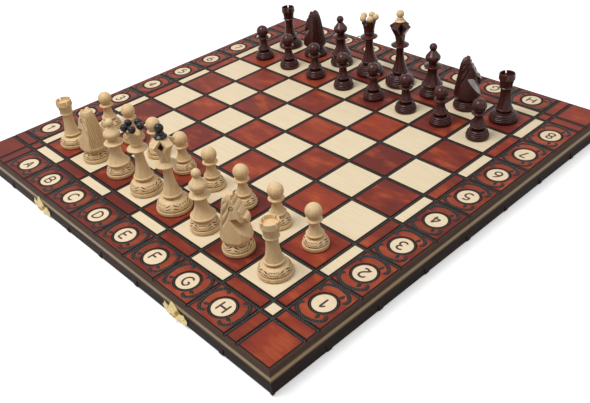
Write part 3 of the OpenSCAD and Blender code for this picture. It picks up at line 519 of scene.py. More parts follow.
def board_stain(f, on, x, y, grain, blotch, lot, tones):
    """Red stain, brighter in patches and in the ears, and darker along the lines and in the ring of ranks."""
    worn = f.plus(f.times(blotch, 0.75), f.times(lot, 0.45))
    stain = f.mix(f.ramp(worn, 0.35, 0.85), tones.plum, tones.mahogany)
    stain = f.veil(stain, tones.ember, blotch, 0.5, 0.72, 0.55)
    # The ring of ranks is painted darker towards -X, and most of all at the -Y end.
    leftward_darkening = f.times(f.ramp(x, -0.26, 0.16, 0.85, 0.15), f.ramp(y, -0.1, -0.2, 0.5, 1.0))
    stain = f.mix(f.times(on.in_ring, leftward_darkening), stain, tones.plum)
    oval = f.plus(f.power(f.ratio(f.minus(f.size(on.along), EAR_MIDDLE), EAR_HALF_LONG), 2.0),
                  f.power(f.ratio(on.across, EAR_HALF_WIDE), 2.0))
    stain = f.mix(f.times(on.has_disc, f.ramp(oval, 0.7, 1.5, 0.25, 0.0)), stain, tones.ember)
    stain = f.veil(stain, tones.plum, grain, 0.45, 0.7, 0.35)
    # Darker beside every line: partly the burnt halo round the carving, partly painted shade at the groove's
    # edge.
    return f.mix(f.ramp(on.line, on.half_line, on.half_line + 0.09, 0.42, 0.0), stain, tones.plum)


def board_finish(name, tones, sizes):
    """Chequered veneer: every square, strip, ring and disc is painted by its place on the board."""
    f = Finish(name)
    place, (x, y, _) = f.where()
    on = board_pattern(f, x, y, sizes)
    spot = f.node("CombineXYZ", {0: on.cell[0], 1: on.cell[1]}).outputs[0]
    lot = f.node("TexWhiteNoise", {"Vector": spot}, noise_dimensions="3D").outputs["Value"]
    step = f.node("VectorMath", {0: spot, 3: 0.37}, operation="SCALE").outputs[0]
    shifted = f.node("VectorMath", {0: place, 1: step}, operation="ADD").outputs[0]
    grain = f.noise(shifted, 220.0, (0.12, 1.6, 1.0), 4.0, 0.65)
    blotch = f.noise(shifted, 34.0, (0.7, 1.5, 1.0), 3.0)
    fleck = f.noise(place, 900.0, (0.25, 1.5, 1.0), 2.0)

    stain = board_stain(f, on, x, y, grain, blotch, lot, tones)
    veneer = f.veil(tones.cream, tones.inlay, grain, 0.4, 0.75, 0.16)
    veneer = f.mix(f.times(lot, 0.07), veneer, tones.bare)
    top = f.mix(on.burnt, f.mix(on.pale, stain, veneer), tones.soot)
    up = f.node("SeparateXYZ", {0: f.node("TexCoord").outputs["Normal"]}).outputs[2]
    edge = f.mix(f.times(grain, 0.5), tones.side, tones.soot)
    paint = f.mix(f.ramp(up, 0.75, 0.95), edge, top)
    paint = f.mix(f.below(up, -0.5), paint, tones.bare)
    f.bump(f.plus(f.times(grain, 0.7), f.times(fleck, 0.3)), 0.12 * MM, 0.5)
    dullness = f.plus(f.times(blotch, 0.12), f.times(on.burnt, 0.22))
    return f.set(Base_Color=paint, Roughness=f.plus(dullness, 0.36), Specular_IOR_Level=0.1)


def rope_finish(tones):
    """Burnt wood, lighter on top of its ridges: a little worn there, and with a painted highlight."""
    f = Finish("burnt rope")
    place, _ = f.where()
    burn_and_shade = f.node("Attribute", attribute_name="burn_and_shade").outputs["Fac"]
    fleck = f.noise(place, 700.0, detail=2.0)
    # Wear and painted highlight: the glint tone is laid in flecks on the crests of the strands.
    worn = f.times(f.ramp(burn_and_shade, 0.14, 0.0), f.ramp(fleck, 0.3, 0.6))
    f.bump(fleck, 0.1 * MM, 0.6)
    return f.set(Base_Color=f.mix(worn, tones.soot, tones.glint), Roughness=f.ramp(fleck, 0.2, 0.8, 0.3, 0.5),
                 Specular_IOR_Level=0.25)


def ink_finish(tones):
    """Strokes burnt into the pale discs."""
    f = Finish("burnt strokes")
    place, _ = f.where()
    patch = f.noise(place, 420.0, detail=2.0)
    f.bump(patch, 0.08 * MM, 0.5)
    paint = f.mix(f.ramp(patch, 0.35, 0.75), tones.soot, tones.plum)
    return f.set(Base_Color=paint, Roughness=f.ramp(patch, 0, 1, 0.45, 0.6))


CARVED_TO = 15.5 * MM  # height up to which the sides are carved


def side_finish(name, tones, sizes):
    """Stained rails: darker and carved below, bare wood inside."""
    f = Finish(name)
    place, (x, y, z) = f.where()
    grain = f.noise(place, 150.0, (0.10, 0.10, 1.6), 4.0, 0.6)
    broad = f.noise(place, 26.0, (0.5, 0.5, 1.5))
    outer = f.most(f.size(x), f.size(y))
    carved = f.ramp(z, CARVED_TO, CARVED_TO + 1.5 * MM, 1.0, 0.0)
    paint = f.mix(carved, tones.side, tones.side_low)
    paint = f.veil(paint, tones.soot, grain, 0.4, 0.72, 0.55)
    paint = f.veil(paint, tones.plum, broad, 0.55, 0.8, 0.25)
    wall = sizes.wall * 0.98
    fold = f.below(f.size(y), wall)
    inside = f.times(f.below(outer, BOARD_R - wall), f.minus(1.0, fold))
    bare = f.mix(f.times(grain, 0.6), tones.bare, tones.inlay)
    f.bump(f.plus(grain, f.times(broad, 0.4)), 0.15 * MM, 0.5)
    return f.set(Base_Color=f.mix(inside, paint, bare), Roughness=f.ramp(grain, 0.2, 0.8, 0.5, 0.65),
                 Specular_IOR_Level=0.06)


def inlay_finish(tones, low, high):
    """The pale strip in the sides, with a darker thread along each edge."""
    f = Finish("inlaid strip")
    place, (_, _, z) = f.where()
    grain = f.noise(place, 260.0, (0.08, 0.08, 2.0), 4.0, 0.6)
    middle, half = (low + high) / 2, (high - low) / 2
    thread = f.ramp(f.size(f.minus(z, middle)), half - 1.3 * MM, half - 0.7 * MM)
    paint = f.veil(tones.inlay, tones.bare, grain, 0.35, 0.7, 0.5)
    paint = f.mix(f.times(thread, 0.8), paint, tones.side)
    f.bump(grain, 0.1 * MM, 0.4)
    return f.set(Base_Color=paint, Roughness=f.ramp(grain, 0.2, 0.8, 0.4, 0.55), Specular_IOR_Level=0.3)


def felt_finish(tones):
    """Short green pile."""
    f = Finish("green felt")
    place, _ = f.where()
    pile = f.noise(place, 1500.0, detail=4.0, rough=0.7)
    patch = f.noise(place, 40.0)
    paint = f.mix(f.ramp(pile, 0.3, 0.75), f.mix(0.45, tones.felt, tones.jet), tones.felt)
    paint = f.mix(f.times(patch, 0.2), paint, tones.jet)
    f.bump(pile, 0.4 * MM, 0.8)
    return f.set(Base_Color=paint, Roughness=0.95, Sheen_Weight=0.35, Sheen_Roughness=0.5)


def men_finish(name, wood, dark, burn_and_shade, dullness, tint):
    """Turned wood: long grain up the man, rings across it, burnt cuts, and painted shade in carved grooves.
    tint is how far the men differ.
    """
    f = Finish(name)
    place, _ = f.where()
    grain = f.noise(place, 190.0, (2.2, 2.2, 0.10), 4.0, 0.6)
    rings = f.noise(place, 60.0, (1.5, 0.5, 0.12), 3.0)
    lathe_marks = f.noise(place, 700.0, (0.02, 0.02, 1.0), 2.0)
    lot = f.node("ObjectInfo").outputs["Random"]
    paint = f.veil(wood, dark, grain, 0.42, 0.7, 0.45)
    paint = f.veil(paint, dark, rings, 0.5, 0.75, 0.35)
    paint = f.mix(f.times(lot, tint), paint, dark)
    # Darkens the burnt cuts and marks, and paints shade into the grooves of the mane and of the black feet.
    burnt = f.node("Attribute", attribute_name="burn_and_shade").outputs["Fac"]
    paint = f.mix(f.ramp(burnt, 0.15, 0.6), paint, burn_and_shade)
    f.bump(f.plus(f.times(grain, 0.6), f.times(lathe_marks, 0.4)), 0.1 * MM, 0.35)
    rough = f.plus(f.ramp(grain, 0.2, 0.8, dullness, dullness + 0.12), f.times(burnt, 0.2))
    return f.set(Base_Color=paint, Roughness=rough, Specular_IOR_Level=0.3)


# ---------------------------------------------------------------- board
def board_lines(half, sizes):
    """Lines of one half as (path, reach): across the board, along it, and the half line at the fold."""
    side = SIDES[half]
    end = BOARD_R - sizes.bevel * 0.6
    field = FIELD / 2 * sizes.square
    strip = field + sizes.strip
    for y in [side * sizes.square * n for n in range(1, FIELD // 2 + 1)] + [side * strip]:
        yield [(-end, y), (end, y)], (-1.0, 1.0)
    for x in [sizes.square * n - field for n in range(FIELD + 1)] + [-strip, strip]:
        yield [(x, side * FOLD_Y), (x, side * end)], (-1.0, 1.0)
    near = FOLD_Y / (sizes.line / 2)
    yield [(-end, 0), (end, 0)], (near, 1.0) if side > 0 else (-1.0, -near)


def middle_of(number, square):
    """Where the middle of a square lies along the board, for squares that are numbered from 0."""
    return (number - (FIELD - 1) / 2) * square


def medallions(half, sizes):
    """Places of the medallions of one half: middle, the way inwards, and the letter with its own way up."""
    side = SIDES[half]
    row = FIELD / 2 * sizes.square + sizes.strip + (sizes.ring - sizes.bevel) / 2
    for number, letter in enumerate(FILES.upper()):
        inward = Vector((0, -side))
        yield Vector((middle_of(number, sizes.square), side * row)), inward, letter, inward
    for number in range(FIELD // 2):
        rank = FIELD // 2 - 1 - number if side < 0 else FIELD // 2 + number
        for end in (-1, 1):
            middle = Vector((end * row, middle_of(rank, sizes.square)))
            yield middle, Vector((-end, 0)), str(rank + 1), Vector((0, -end))


# An ear beside a medallion, in squares from its middle: along the edge, and inwards.
EAR = [(0.20, 0.25), (0.22, 0.305), (0.275, 0.327), (0.345, 0.298), (0.402, 0.215), (0.44, 0.10),
       (0.44, -0.02), (0.413, -0.142), (0.365, -0.23), (0.294, -0.283), (0.22, -0.268), (0.186, -0.227)]
LEAF = [(0.225, -0.105), (0.27, -0.128), (0.31, -0.138), (0.352, -0.134)]

# Strokes of the letters, in a box one high. A stroke that starts with "~" is a smooth curve.
LETTERS = {
    "A": ["0,0 .38,1 .76,0", ".14,.36 .62,.36"],
    "B": ["0,0 0,1", "~0,1 .45,.98 .62,.77 .45,.55 0,.53", "~0,.53 .5,.5 .7,.27 .5,.03 0,0"],
    "C": ["~.74,.84 .45,1 .12,.84 0,.5 .12,.16 .45,0 .74,.16"],
    "D": ["0,0 0,1", "~0,1 .4,.95 .68,.72 .72,.5 .68,.28 .4,.05 0,0"],
    "E": [".64,1 0,1 0,0 .64,0", "0,.52 .52,.52"],
    "F": [".64,1 0,1 0,0", "0,.52 .52,.52"],
    "G": ["~.74,.84 .45,1 .12,.84 0,.5 .12,.16 .45,0 .70,.14", ".70,.1 .74,.44 .44,.44"],
    "H": ["0,0 0,1", ".72,0 .72,1", "0,.5 .72,.5"],
    "1": ["0,.66 .34,1 .34,0"],
    "2": ["~0,.74 .12,.94 .34,1 .56,.92 .62,.7 .5,.46 .2,.2 0,0", "~0,0 .2,.07 .42,-.02 .68,.06"],
    "3": ["~0,.86 .22,1 .5,.94 .56,.72 .42,.56 .2,.53", "~.2,.53 .48,.5 .62,.28 .5,.06 .24,0 0,.12"],
    "4": [".5,0 .5,1 0,.3 .68,.3"],
    "5": [".6,1 .1,1 .06,.56", "~.06,.56 .34,.64 .6,.5 .62,.24 .44,.02 .2,0 0,.1"],
    "6": ["~.52,1 .22,.8 .04,.5 0,.26 .14,.04 .38,0 .6,.12 .62,.36 .44,.54 .2,.52 .04,.36"],
    "7": ["0,1 .62,1 .2,0"],
    "8": ["~.3,.54 .08,.66 .06,.88 .3,1 .54,.88 .52,.66 .3,.54 .04,.38 .02,.12 .3,0 .58,.12 .56,.38 .3,.54"],
}
LETTER_WIDTH, FIGURE_WIDTH = 0.7, 0.616  # for a height of 1
INK_HEIGHT = 0.1 * MM  # how far a burnt stroke stands above the board


def carve_ornament(half, sizes, cuts):
    """Rope lines, medallion rings, ears and leaves of one half, as one carved piece."""
    shell = Shell()
    groove = TOP_Z - sizes.line_depth
    for path, reach in board_lines(half, sizes):
        band(shell, path, sizes.line, cuts.rope_height, groove, cuts.rope_pitch, reach)
    for middle, inward, _, _ in medallions(half, sizes):
        ring = [middle + Vector(p) for p in arc((0, 0), (sizes.disc + sizes.disc_ring) / 2, 0, 360, 48)[:-1]]
        band(shell, ring, sizes.disc_ring, cuts.rope_height, groove, cuts.rope_pitch, closed=True)
        for turn in (-1, 1):
            along = Vector((inward.y, -inward.x)) * turn
            for outline, pitch, pointed in ((EAR, cuts.rope_pitch, 0.06), (LEAF, cuts.rope_pitch * 0.6, 0.5)):
                path = [middle + (along * p[0] + inward * p[1]) * sizes.square for p in smooth(outline)]
                band(shell, path, cuts.ear, cuts.ear_height, TOP_Z, pitch, pointed=pointed)
    return shell


def draw_letters(half, sizes, cuts):
    """The burnt letters and numbers of one half."""
    shell = Shell()
    for middle, _, letter, up in medallions(half, sizes):
        right = Vector((up.y, -up.x))
        width = LETTER_WIDTH if letter.isalpha() else FIGURE_WIDTH
        for stroke in LETTERS[letter]:
            curved = stroke.startswith("~")
            points = [tuple(float(n) for n in pair.split(",")) for pair in stroke.lstrip("~").split()]
            if curved:
                points = smooth(points)
            path = [middle + (right * (p[0] - width / 2) + up * (p[1] - 0.5)) * cuts.letter for p in points]
            for run in [path] if curved else zip(path, path[1:]):
                band(shell, run, cuts.stroke, INK_HEIGHT, TOP_Z, pointed=0.08)
    return shell


class CHESSBOX_OT_board(bpy.types.Operator):
    """Stains the chequered panels of both halves"""
    bl_idname = "chessbox.board"
    bl_label = "Board panels"

    def execute(self, context):
        scene = context.scene
        finish = board_finish("chequered veneer", scene.chess_tones, scene.chess_board)
        dress(finish, *[f"{half}_board_panel" for half in SIDES])
        return {"FINISHED"}


class CHESSBOX_OT_ornament(bpy.types.Operator):
    """Carves the rope lines, rings and ears of both halves"""
    bl_idname = "chessbox.ornament"
    bl_label = "Carved ropes and ears"

    def execute(self, context):
        scene = context.scene
        finish = rope_finish(scene.chess_tones)
        for half in SIDES:
            shell = carve_ornament(half, scene.chess_board, scene.chess_carving)
            ropes = shell.mesh(f"{half} ropes", 60)
            piece(f"{half}_carved_ropes", ropes, finish, f"{half}_half")
        return {"FINISHED"}


class CHESSBOX_OT_letters(bpy.types.Operator):
    """Burns the letters and numbers into their discs"""
    bl_idname = "chessbox.letters"
    bl_label = "Letters and numbers"

    def execute(self, context):
        scene = context.scene
        finish = ink_finish(scene.chess_tones)
        for half in SIDES:
            shell = draw_letters(half, scene.chess_board, scene.chess_carving)
            letters = shell.mesh(f"{half} letters", 60)
            piece(f"{half}_letters", letters, finish, f"{half}_half")
        return {"FINISHED"}


class CHESSBOX_OT_sides(bpy.types.Operator):
    """Stains the rails and fills their inlaid strip"""
    bl_idname = "chessbox.sides"
    bl_label = "Rails and inlaid strip"

    def execute(self, context):
        scene = context.scene
        rail = side_finish("stained rail", scene.chess_tones, scene.chess_board)
        low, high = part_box("white_banding")
        strip = inlay_finish(scene.chess_tones, low.z, high.z)
        for half in SIDES:
            dress(rail, *[f"{half}_{part}_rail" for part in ("end", "hinge")])
            dress(rail, *[f"{half}_side_rail_{file}" for file in ("a", "h")])
            dress(strip, f"{half}_banding")
        return {"FINISHED"}


class CHESSBOX_OT_linings(bpy.types.Operator):
    """Lays the felt in both halves"""
    bl_idname = "chessbox.linings"
    bl_label = "Felt linings"
    COLUMNS, ROWS = 36, 18  # fields of the felt along and across the fold
    UNEVEN = 0.12 * MM

    def execute(self, context):
        finish = felt_finish(context.scene.chess_men)
        for half in SIDES:
            node = f"{half}_felt_lining"
            low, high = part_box(node)
            wide, long = high.x - low.x, high.y - low.y
            rows = []
            for i in range(self.ROWS + 1):
                y = low.y + long * i / self.ROWS
                under = [(low.x + wide * j / self.COLUMNS, y, low.z + self.ripple(i, j))
                         for j in range(self.COLUMNS + 1)]
                rows.append(under + [(p[0], y, high.z) for p in reversed(under)])
            made = piece(f"{half}_lining", Shell().skin(rows).mesh(f"{half} lining"), finish, f"{half}_half",
                         [node])
        return {"FINISHED"}

    def ripple(self, i, j):
        """How far the glued felt stands off its panel, in a slight unevenness."""
        return self.UNEVEN * (1 + math.sin(1.3 * i + 0.7 * j) * math.cos(0.9 * j - 0.4 * i)) / 2


class CHESSBOX_OT_metal(bpy.types.Operator):
    """Finishes the hinges, clasps, screws and nails"""
    bl_idname = "chessbox.metal"
    bl_label = "Brass fittings"

    def execute(self, context):
        scene = context.scene
        bright = brass_finish("bright brass", scene.chess_men.brass, scene.chess_tones.side, 0.05)
        dull = brass_finish("dull brass", scene.chess_men.brass, scene.chess_tones.side, 0.55)
        dress(bright, "catch_plates", "catch_nails", "loop_plates", "loop_nails")
        dress(bright, "clasp_loop_b", "clasp_loop_g")
        dress(dull, "hinge_pins")
        for half in SIDES:
            dress(dull, f"{half}_hinge_leaves", f"{half}_hinge_screws")
        return {"FINISHED"}


def brass_finish(name, brass, tarnish, dim):
    """Pressed brass, dulled and lightly scratched. dim is the share of tarnish that lies everywhere."""
    f = Finish(name)
    place, _ = f.where()
    stain = f.noise(place, 160.0, detail=4.0)
    scratch = f.noise(place, 900.0, (0.2, 1.0, 1.0), 3.0)
    paint = f.mix(f.ramp(stain, 0.45, 0.75, dim, dim + 0.35), brass, tarnish)
    f.bump(f.plus(stain, f.times(scratch, 0.5)), 0.06 * MM, 0.5)
    return f.set(Base_Color=paint, Metallic=0.9, Roughness=f.ramp(scratch, 0.25, 0.8, 0.24, 0.42))


# ---------------------------------------------------------------- turned men
SHOULDER = 0.83  # how much of its height the round shoulder of a foot fills, under the hollow
WAIST_AT = 0.80  # where a stem is thinnest, as a share of its height
ONE_POINT = 0.005 * MM  # points of an outline closer than this are one
ON_AXIS = 0.01 * MM  # points closer than this to the axis are poles
CUT_GAP = 0.42 * MM  # distance between two points in the cuts of a foot


def foot_outline(t, width, height, neck):
    """Felt seat, rounded rim, a groove and a round shoulder up to the neck."""
    r, e = width / 2, t.edge
    low = t.rim + e
    bulge = height - low
    middle = r - e - bulge
    lean = math.degrees(math.acos(max(0.0, min(1.0, (neck - middle) / bulge))))
    shoulder = [(x, low + (z - low) * SHOULDER) for x, z in arc((middle, low), bulge, 0, lean, 22)]
    seat = t.felt + t.glue
    rim = arc((r - e, seat + e), e, -75, 0, 5) + arc((r - e, t.rim - e), e, 0, 70, 6)
    groove = [(r - 2 * e, t.rim), (r - 1.5 * e, t.rim + 0.7 * e)]
    return [(0, seat), (r - e, seat)] + rim + groove + shoulder


def hollow(low, high, waist_first, steps=12):
    """A hollow curve between a wide point and the waist."""
    wide, waist = (high, low) if waist_first else (low, high)
    a, b = wide[0] - waist[0], abs(wide[1] - waist[1])
    r = (a * a + b * b) / (2 * a)
    reach = math.asin(min(1.0, b / r))
    way = 1 if waist_first else -1
    turns = [reach * i / steps for i in (range(1, steps + 1) if waist_first else range(steps, -1, -1))]
    return [(waist[0] + r - r * math.cos(a), waist[1] + way * r * math.sin(a)) for a in turns]


def stem_outline(t, skirt, waist, low, high, top):
    """The ring above the foot and the waisted stem up to the collar."""
    e, r = 1.5 * t.edge, skirt / 2
    middle = (waist / 2, low + (high - low) * WAIST_AT)
    return ([(r - e, low)] + arc((r - e, low + e), e, -60, 60, 8)
            + hollow((r - e, low + 2 * e), middle, False) + hollow(middle, (top, high), True))


def collar_outline(t, width, low, height, neck):
    """A collar whose top slopes up to the neck of the head."""
    rim = arc((width / 2 - t.edge, low + t.edge), t.edge, -60, 70, 8)
    return [(width / 2 - 2 * t.edge, low)] + rim + [(neck, low + height)]


def ball_outline(z, r, neck):
    """A ball from the neck that carries it to its top."""
    return arc((0, z), r, -math.degrees(math.acos(neck / r)), 90, 20)


def neck_of(t, skirt):
    """Radius of the hollow between a foot and the ring above it."""
    return skirt / 2 - 3.5 * t.edge


def man_outline(t, man, collar_height, neck, head):
    """Foot, stem and collar, and then the outline of the head."""
    narrow = neck_of(t, man.skirt)
    low, high = man.foot_height, man.foot_height + man.stem
    foot = foot_outline(t, man.foot, low, narrow) + [(narrow, low)]
    stem = stem_outline(t, man.skirt, man.waist, low, high, man.waist / 2 + t.edge / 2)
    collar = collar_outline(t, man.collar, high, collar_height, neck) if collar_height else []
    return foot + stem + collar + head


def turn(shell, outline, cuts=None, steps=72, angles=None):
    """Turns an outline round the Z axis. cuts gives the depth, and the burn and painted shade, at an angle and
    a height.
    """
    angles = angles or [2 * math.pi * j / steps for j in range(steps)]
    clean = [outline[0]] + [q for p, q in zip(outline, outline[1:]) if math.dist(p, q) > ONE_POINT]
    rows, burns_and_shade = [], []
    for i, (r, z) in enumerate(clean):
        if r < ON_AXIS:
            rows.append([(0.0, 0.0, z)])
            burns_and_shade.append([0.0])
            continue
        before, after = clean[max(i - 1, 0)], clean[min(i + 1, len(clean) - 1)]
        out = Vector((after[1] - before[1], before[0] - after[0])).normalized()
        row, burn_and_shade = [], []
        for a in angles:
            # soot takes the burn of the pokerwork and the painted shade in the ridges of a black foot.
            depth, soot = cuts(a, r, z) if cuts else (0.0, 0.0)
            reach = r - out.x * depth
            row.append((reach * math.cos(a), reach * math.sin(a), z - out.y * depth))
            burn_and_shade.append(soot)
        rows.append(row)
        burns_and_shade.append(burn_and_shade)
    return shell.skin(rows, burns_and_shade)


def fine(outline, low, high, gap):
    """The outline again, with points no further apart than the gap between two heights."""
    made = [outline[0]]
    for p, q in zip(outline, outline[1:]):
        pieces = 1
        if low <= min(p[1], q[1]) and max(p[1], q[1]) <= high and max(p[0], q[0]) > 5 * MM:
            pieces = max(1, math.ceil(math.dist(p, q) / gap))
        shares = [k / pieces for k in range(1, pieces + 1)]
        made += [(p[0] + (q[0] - p[0]) * share, p[1] + (q[1] - p[1]) * share) for share in shares]
    return made


def wedge(x, y, a, b, width):
    """How deep a point is inside a wedge-shaped cut from a to b, from 0 at its edge to 1 along its middle."""
    ax, ay, bx, by = *a, *b
    length = math.hypot(bx - ax, by - ay)
    along = ((x - ax) * (bx - ax) + (y - ay) * (by - ay)) / length ** 2
    if not 0 < along < 1:
        return 0.0
    off = abs((x - ax) * (by - ay) - (y - ay) * (bx - ax)) / length
    half = width / 2 * min(1.0, 3.2 * along, 1.6 * (1 - along))
    return max(0.0, 1 - off / half)


# The motif burnt round a white foot, in parts of its length and height: slanting strokes as
# (from, to, width in mm) and rows of dots as (from, to, number, size in mm).
STROKES = [((0.03, 0.92), (0.34, 0.52), 1.2), ((0.03, 0.55), (0.34, 0.15), 1.2),
           ((0.97, 0.92), (0.66, 0.52), 1.1), ((0.97, 0.55), (0.66, 0.15), 1.1)]
DOTS = [((0.33, 0.80), (0.67, 0.80), 6, 0.65), ((0.36, 0.40), (0.64, 0.40), 5, 0.6),
        ((0.40, 0.08), (0.60, 0.08), 4, 0.6)]
MOTIF_LENGTH = 27 * MM
MOTIF_HEIGHT = 0.58  # as a share of the foot above its rim
POKER_DEPTH = 0.5 * MM
RIDGE_PITCH, RIDGE_DEPTH = 2.5 * MM, 0.75 * MM
CUTS_FROM = 0.8  # cuts keep outside this share of the ring above the foot


def pokerwork(t, man):
    """Burnt cuts round a white foot: a line, and over it slanting wedges with rows of dots between them."""
    low = t.rim + MM
    tall = (man.foot_height - t.rim) * MOTIF_HEIGHT
    around = math.pi * man.foot
    motifs = max(3, round(around / MOTIF_LENGTH))
    wide = around / motifs

    def spot(a, b, share=0.0):
        return wide * (a[0] + (b[0] - a[0]) * share), tall * (a[1] + (b[1] - a[1]) * share)

    strokes = [(spot(a, b), spot(a, b, 1), width * MM) for a, b, width in STROKES]
    dots = [(spot(a, b, k / (number - 1)), size * MM) for a, b, number, size in DOTS for k in range(number)]

    def cuts(angle, r, z):
        if z < t.rim - 0.3 * MM or z > low + tall * 1.1 or r < man.skirt / 2 * CUTS_FROM:
            return 0.0, 0.0
        x, y = (angle / (2 * math.pi) * motifs % 1) * wide, z - low
        line = 0.8 * max(0.0, 1 - abs(y + 0.3 * MM) / (0.45 * MM))
        wedges = [1.2 * wedge(x, y, *stroke) for stroke in strokes]
        best = max(line, *wedges, *[1 - math.dist((x, y), at) / size for at, size in dots])
        return min(1.0, best) * POKER_DEPTH, min(1.0, best * 1.6)

    return cuts


def ridges(t, man):
    """Plain turned ridges round a black foot, with painted shade in their grooves."""
    low, high = t.rim + 0.6 * MM, t.rim + (man.foot_height - t.rim) * 0.75

    def cuts(angle, r, z):
        if not low < z < high or r < man.skirt / 2 * CUTS_FROM:
            return 0.0, 0.0
        wave = (0.5 - 0.5 * math.cos(2 * math.pi * (z - low) / RIDGE_PITCH)) ** 2
        # Painted shade: the second value darkens the bottom of each groove.
        return wave * RIDGE_DEPTH, wave * 0.5

    return cuts


def felt_disc(t, man):
    """The felt under a foot, a little soft at its edge."""
    r, soft = man.foot / 2 - 1.2 * t.edge, t.felt * 0.4
    side = arc((r - soft, soft), soft, -90, 0, 3) + [(r, t.felt)]
    return turn(Shell(), [(0, 0)] + side + [(0, t.felt)], steps=48)


def place_of(square):
    """Where a man stands: the middle of his square on the playing surface."""
    size = bpy.context.scene.chess_board.square
    file, rank = FILES.index(square[0]), int(square[1]) - 1
    return Vector((middle_of(file, size), middle_of(rank, size), TOP_Z))


HOME_FILES = {"pawn": FILES, "rook": "ah", "knight": "bg", "bishop": "cf", "queen": "d", "king": "e"}


def men_of(kind):
    """Side, name and square of every man of a kind."""
    for side, home, front in (("white", 1, 2), ("black", FIELD, FIELD - 1)):
        for file in HOME_FILES[kind]:
            node = f"{side}_{kind}" if kind in ("queen", "king") else f"{side}_{kind}_{file}"
            yield side, node, f"{file}{front if kind == 'pawn' else home}"


def men_material(scene, side, part="men"):
    """The wood of one side's men, made once, or of the trim on them, which is dark on the white men."""
    name = f"{side} {part}"
    tones = scene.chess_men
    woods = {
        "white men": (tones.maple, tones.maple_dark, tones.burn_and_shade, 0.38, 0.12),
        "black men": (tones.rosewood, tones.rosewood_dark, tones.jet, 0.16, 0.3),
        "white trim": (tones.jet, tones.rosewood_dark, tones.jet, 0.12, 0.1),
        "black trim": (tones.maple, tones.maple_dark, tones.burn_and_shade, 0.3, 0.1),
    }
    return bpy.data.materials.get(name) or men_finish(name, *woods[name])


def set_men(context, kind, build, turns=None):
    """Builds one man of each side on his felt and stands a copy on every square of his kind.

    build(side) gives the wooden shell and a list of (suffix, shell) for his trim. turns holds the angles of
    the men that are turned on their squares.
    """
    scene = context.scene
    felt = felt_disc(scene.chess_turning, getattr(scene, f"chess_{kind}"))
    felt_material = bpy.data.materials.get("green felt") or felt_finish(scene.chess_men)
    built = {}
    for side, node, square in men_of(kind):
        slot = f"{side}_men_wood"
        if side not in built:
            wood, trim = build(side)
            parts = [("felt", felt.mesh(f"{side} {kind} felt"), felt_material, "green_felt")]
            for suffix, shell in trim:
                material = men_material(scene, side, "trim")
                parts.append((suffix, shell.mesh(f"{side} {kind} {suffix}"), material, slot))
            built[side] = wood.mesh(f"{side} {kind}"), parts
        data, parts = built[side]
        turned = Matrix.Rotation(math.radians((turns or {}).get(node, 0.0)), 4, "Z")
        place = Matrix.Translation(place_of(square)) @ turned
        piece(f"{node}_wood", data, men_material(scene, side), node, [node], place)
        for suffix, part, material, part_slot in parts:
            piece(f"{node}_{suffix}", part, material, node, (), place)


def wooden(t, man, side, outline, steps=144, angles=None, shape=None):
    """A turned man of one side, with the cuts of that side round his foot. shape moves its points."""
    cuts = pokerwork(t, man) if side == "white" else ridges(t, man)
    shell = turn(Shell(), fine(outline, t.rim - t.edge, man.foot_height, CUT_GAP), cuts, steps, angles)
    if shape:
        shell.points = [shape(p) for p in shell.points]
    return shell


class CHESSBOX_OT_pawns(bpy.types.Operator):
    """Turns the sixteen pawns"""
    bl_idname = "chessbox.pawns"
    bl_label = "Pawns"

    def execute(self, context):
        t, man = context.scene.chess_turning, context.scene.chess_pawn
        collar = 4 * t.edge
        neck = man.ball / 2 * 0.62
        ball = man.foot_height + man.stem + collar + math.sqrt((man.ball / 2) ** 2 - neck ** 2)
        outline = man_outline(t, man, collar, neck, ball_outline(ball, man.ball / 2, neck))
        set_men(context, "pawn", lambda side: (wooden(t, man, side, outline, 120), []))
        return {"FINISHED"}


class CHESSBOX_OT_rooks(bpy.types.Operator):
    """Turns the four rooks and slits their rims"""
    bl_idname = "chessbox.rooks"
    bl_label = "Rooks"
    SLITS = 4
    STEPS = 34  # between two slits
    TURNS = {"black_rook_a": 45, "black_rook_h": 45}

    def execute(self, context):
        t, man = context.scene.chess_turning, context.scene.chess_rook
        r, e = man.head / 2, t.edge
        z = man.foot_height + man.stem
        flare, top = z + 0.6 * man.head_height, z + man.head_height
        neck = man.waist / 2 + 1.5 * e
        inside, floor = r - 2 * e, top - man.hollow
        cup = hollow((neck, z + 2 * e), (r - e, flare), True) + arc((r - e, flare + e), e, -90, 20, 6)
        rim = [(r - e / 2, top - e / 3), (r - e, top), (inside, top), (inside - e / 3, top - e / 3)]
        head = [(neck + e, z + e), (neck, z + 2 * e)] + cup + rim + [(inside - e, floor), (0, floor)]
        outline = man_outline(t, man, 0, 0, head)
        between = 2 * math.pi / self.SLITS
        half = math.asin(man.slit / 2 / (r - e))
        turns = [half + (between - 2 * half) * j / self.STEPS for j in range(self.STEPS + 1)]
        turns += [s * half * 0.96 for s in (-1, 0, 1)]
        angles = sorted({round(k * between + a, 5) for k in range(self.SLITS) for a in turns})

        def slits(p):
            """Lowers the rim where a slit crosses it."""
            near = abs((math.atan2(p[1], p[0]) + between / 2) % between - between / 2)
            if p[2] > floor and math.hypot(p[0], p[1]) > inside - e * 1.5 and near < half * 0.98:
                return p[0], p[1], floor + 0.02 * (p[2] - floor)
            return p

        set_men(context, "rook", lambda side: (
            wooden(t, man, side, outline, angles=angles, shape=slits), []), self.TURNS)
        return {"FINISHED"}


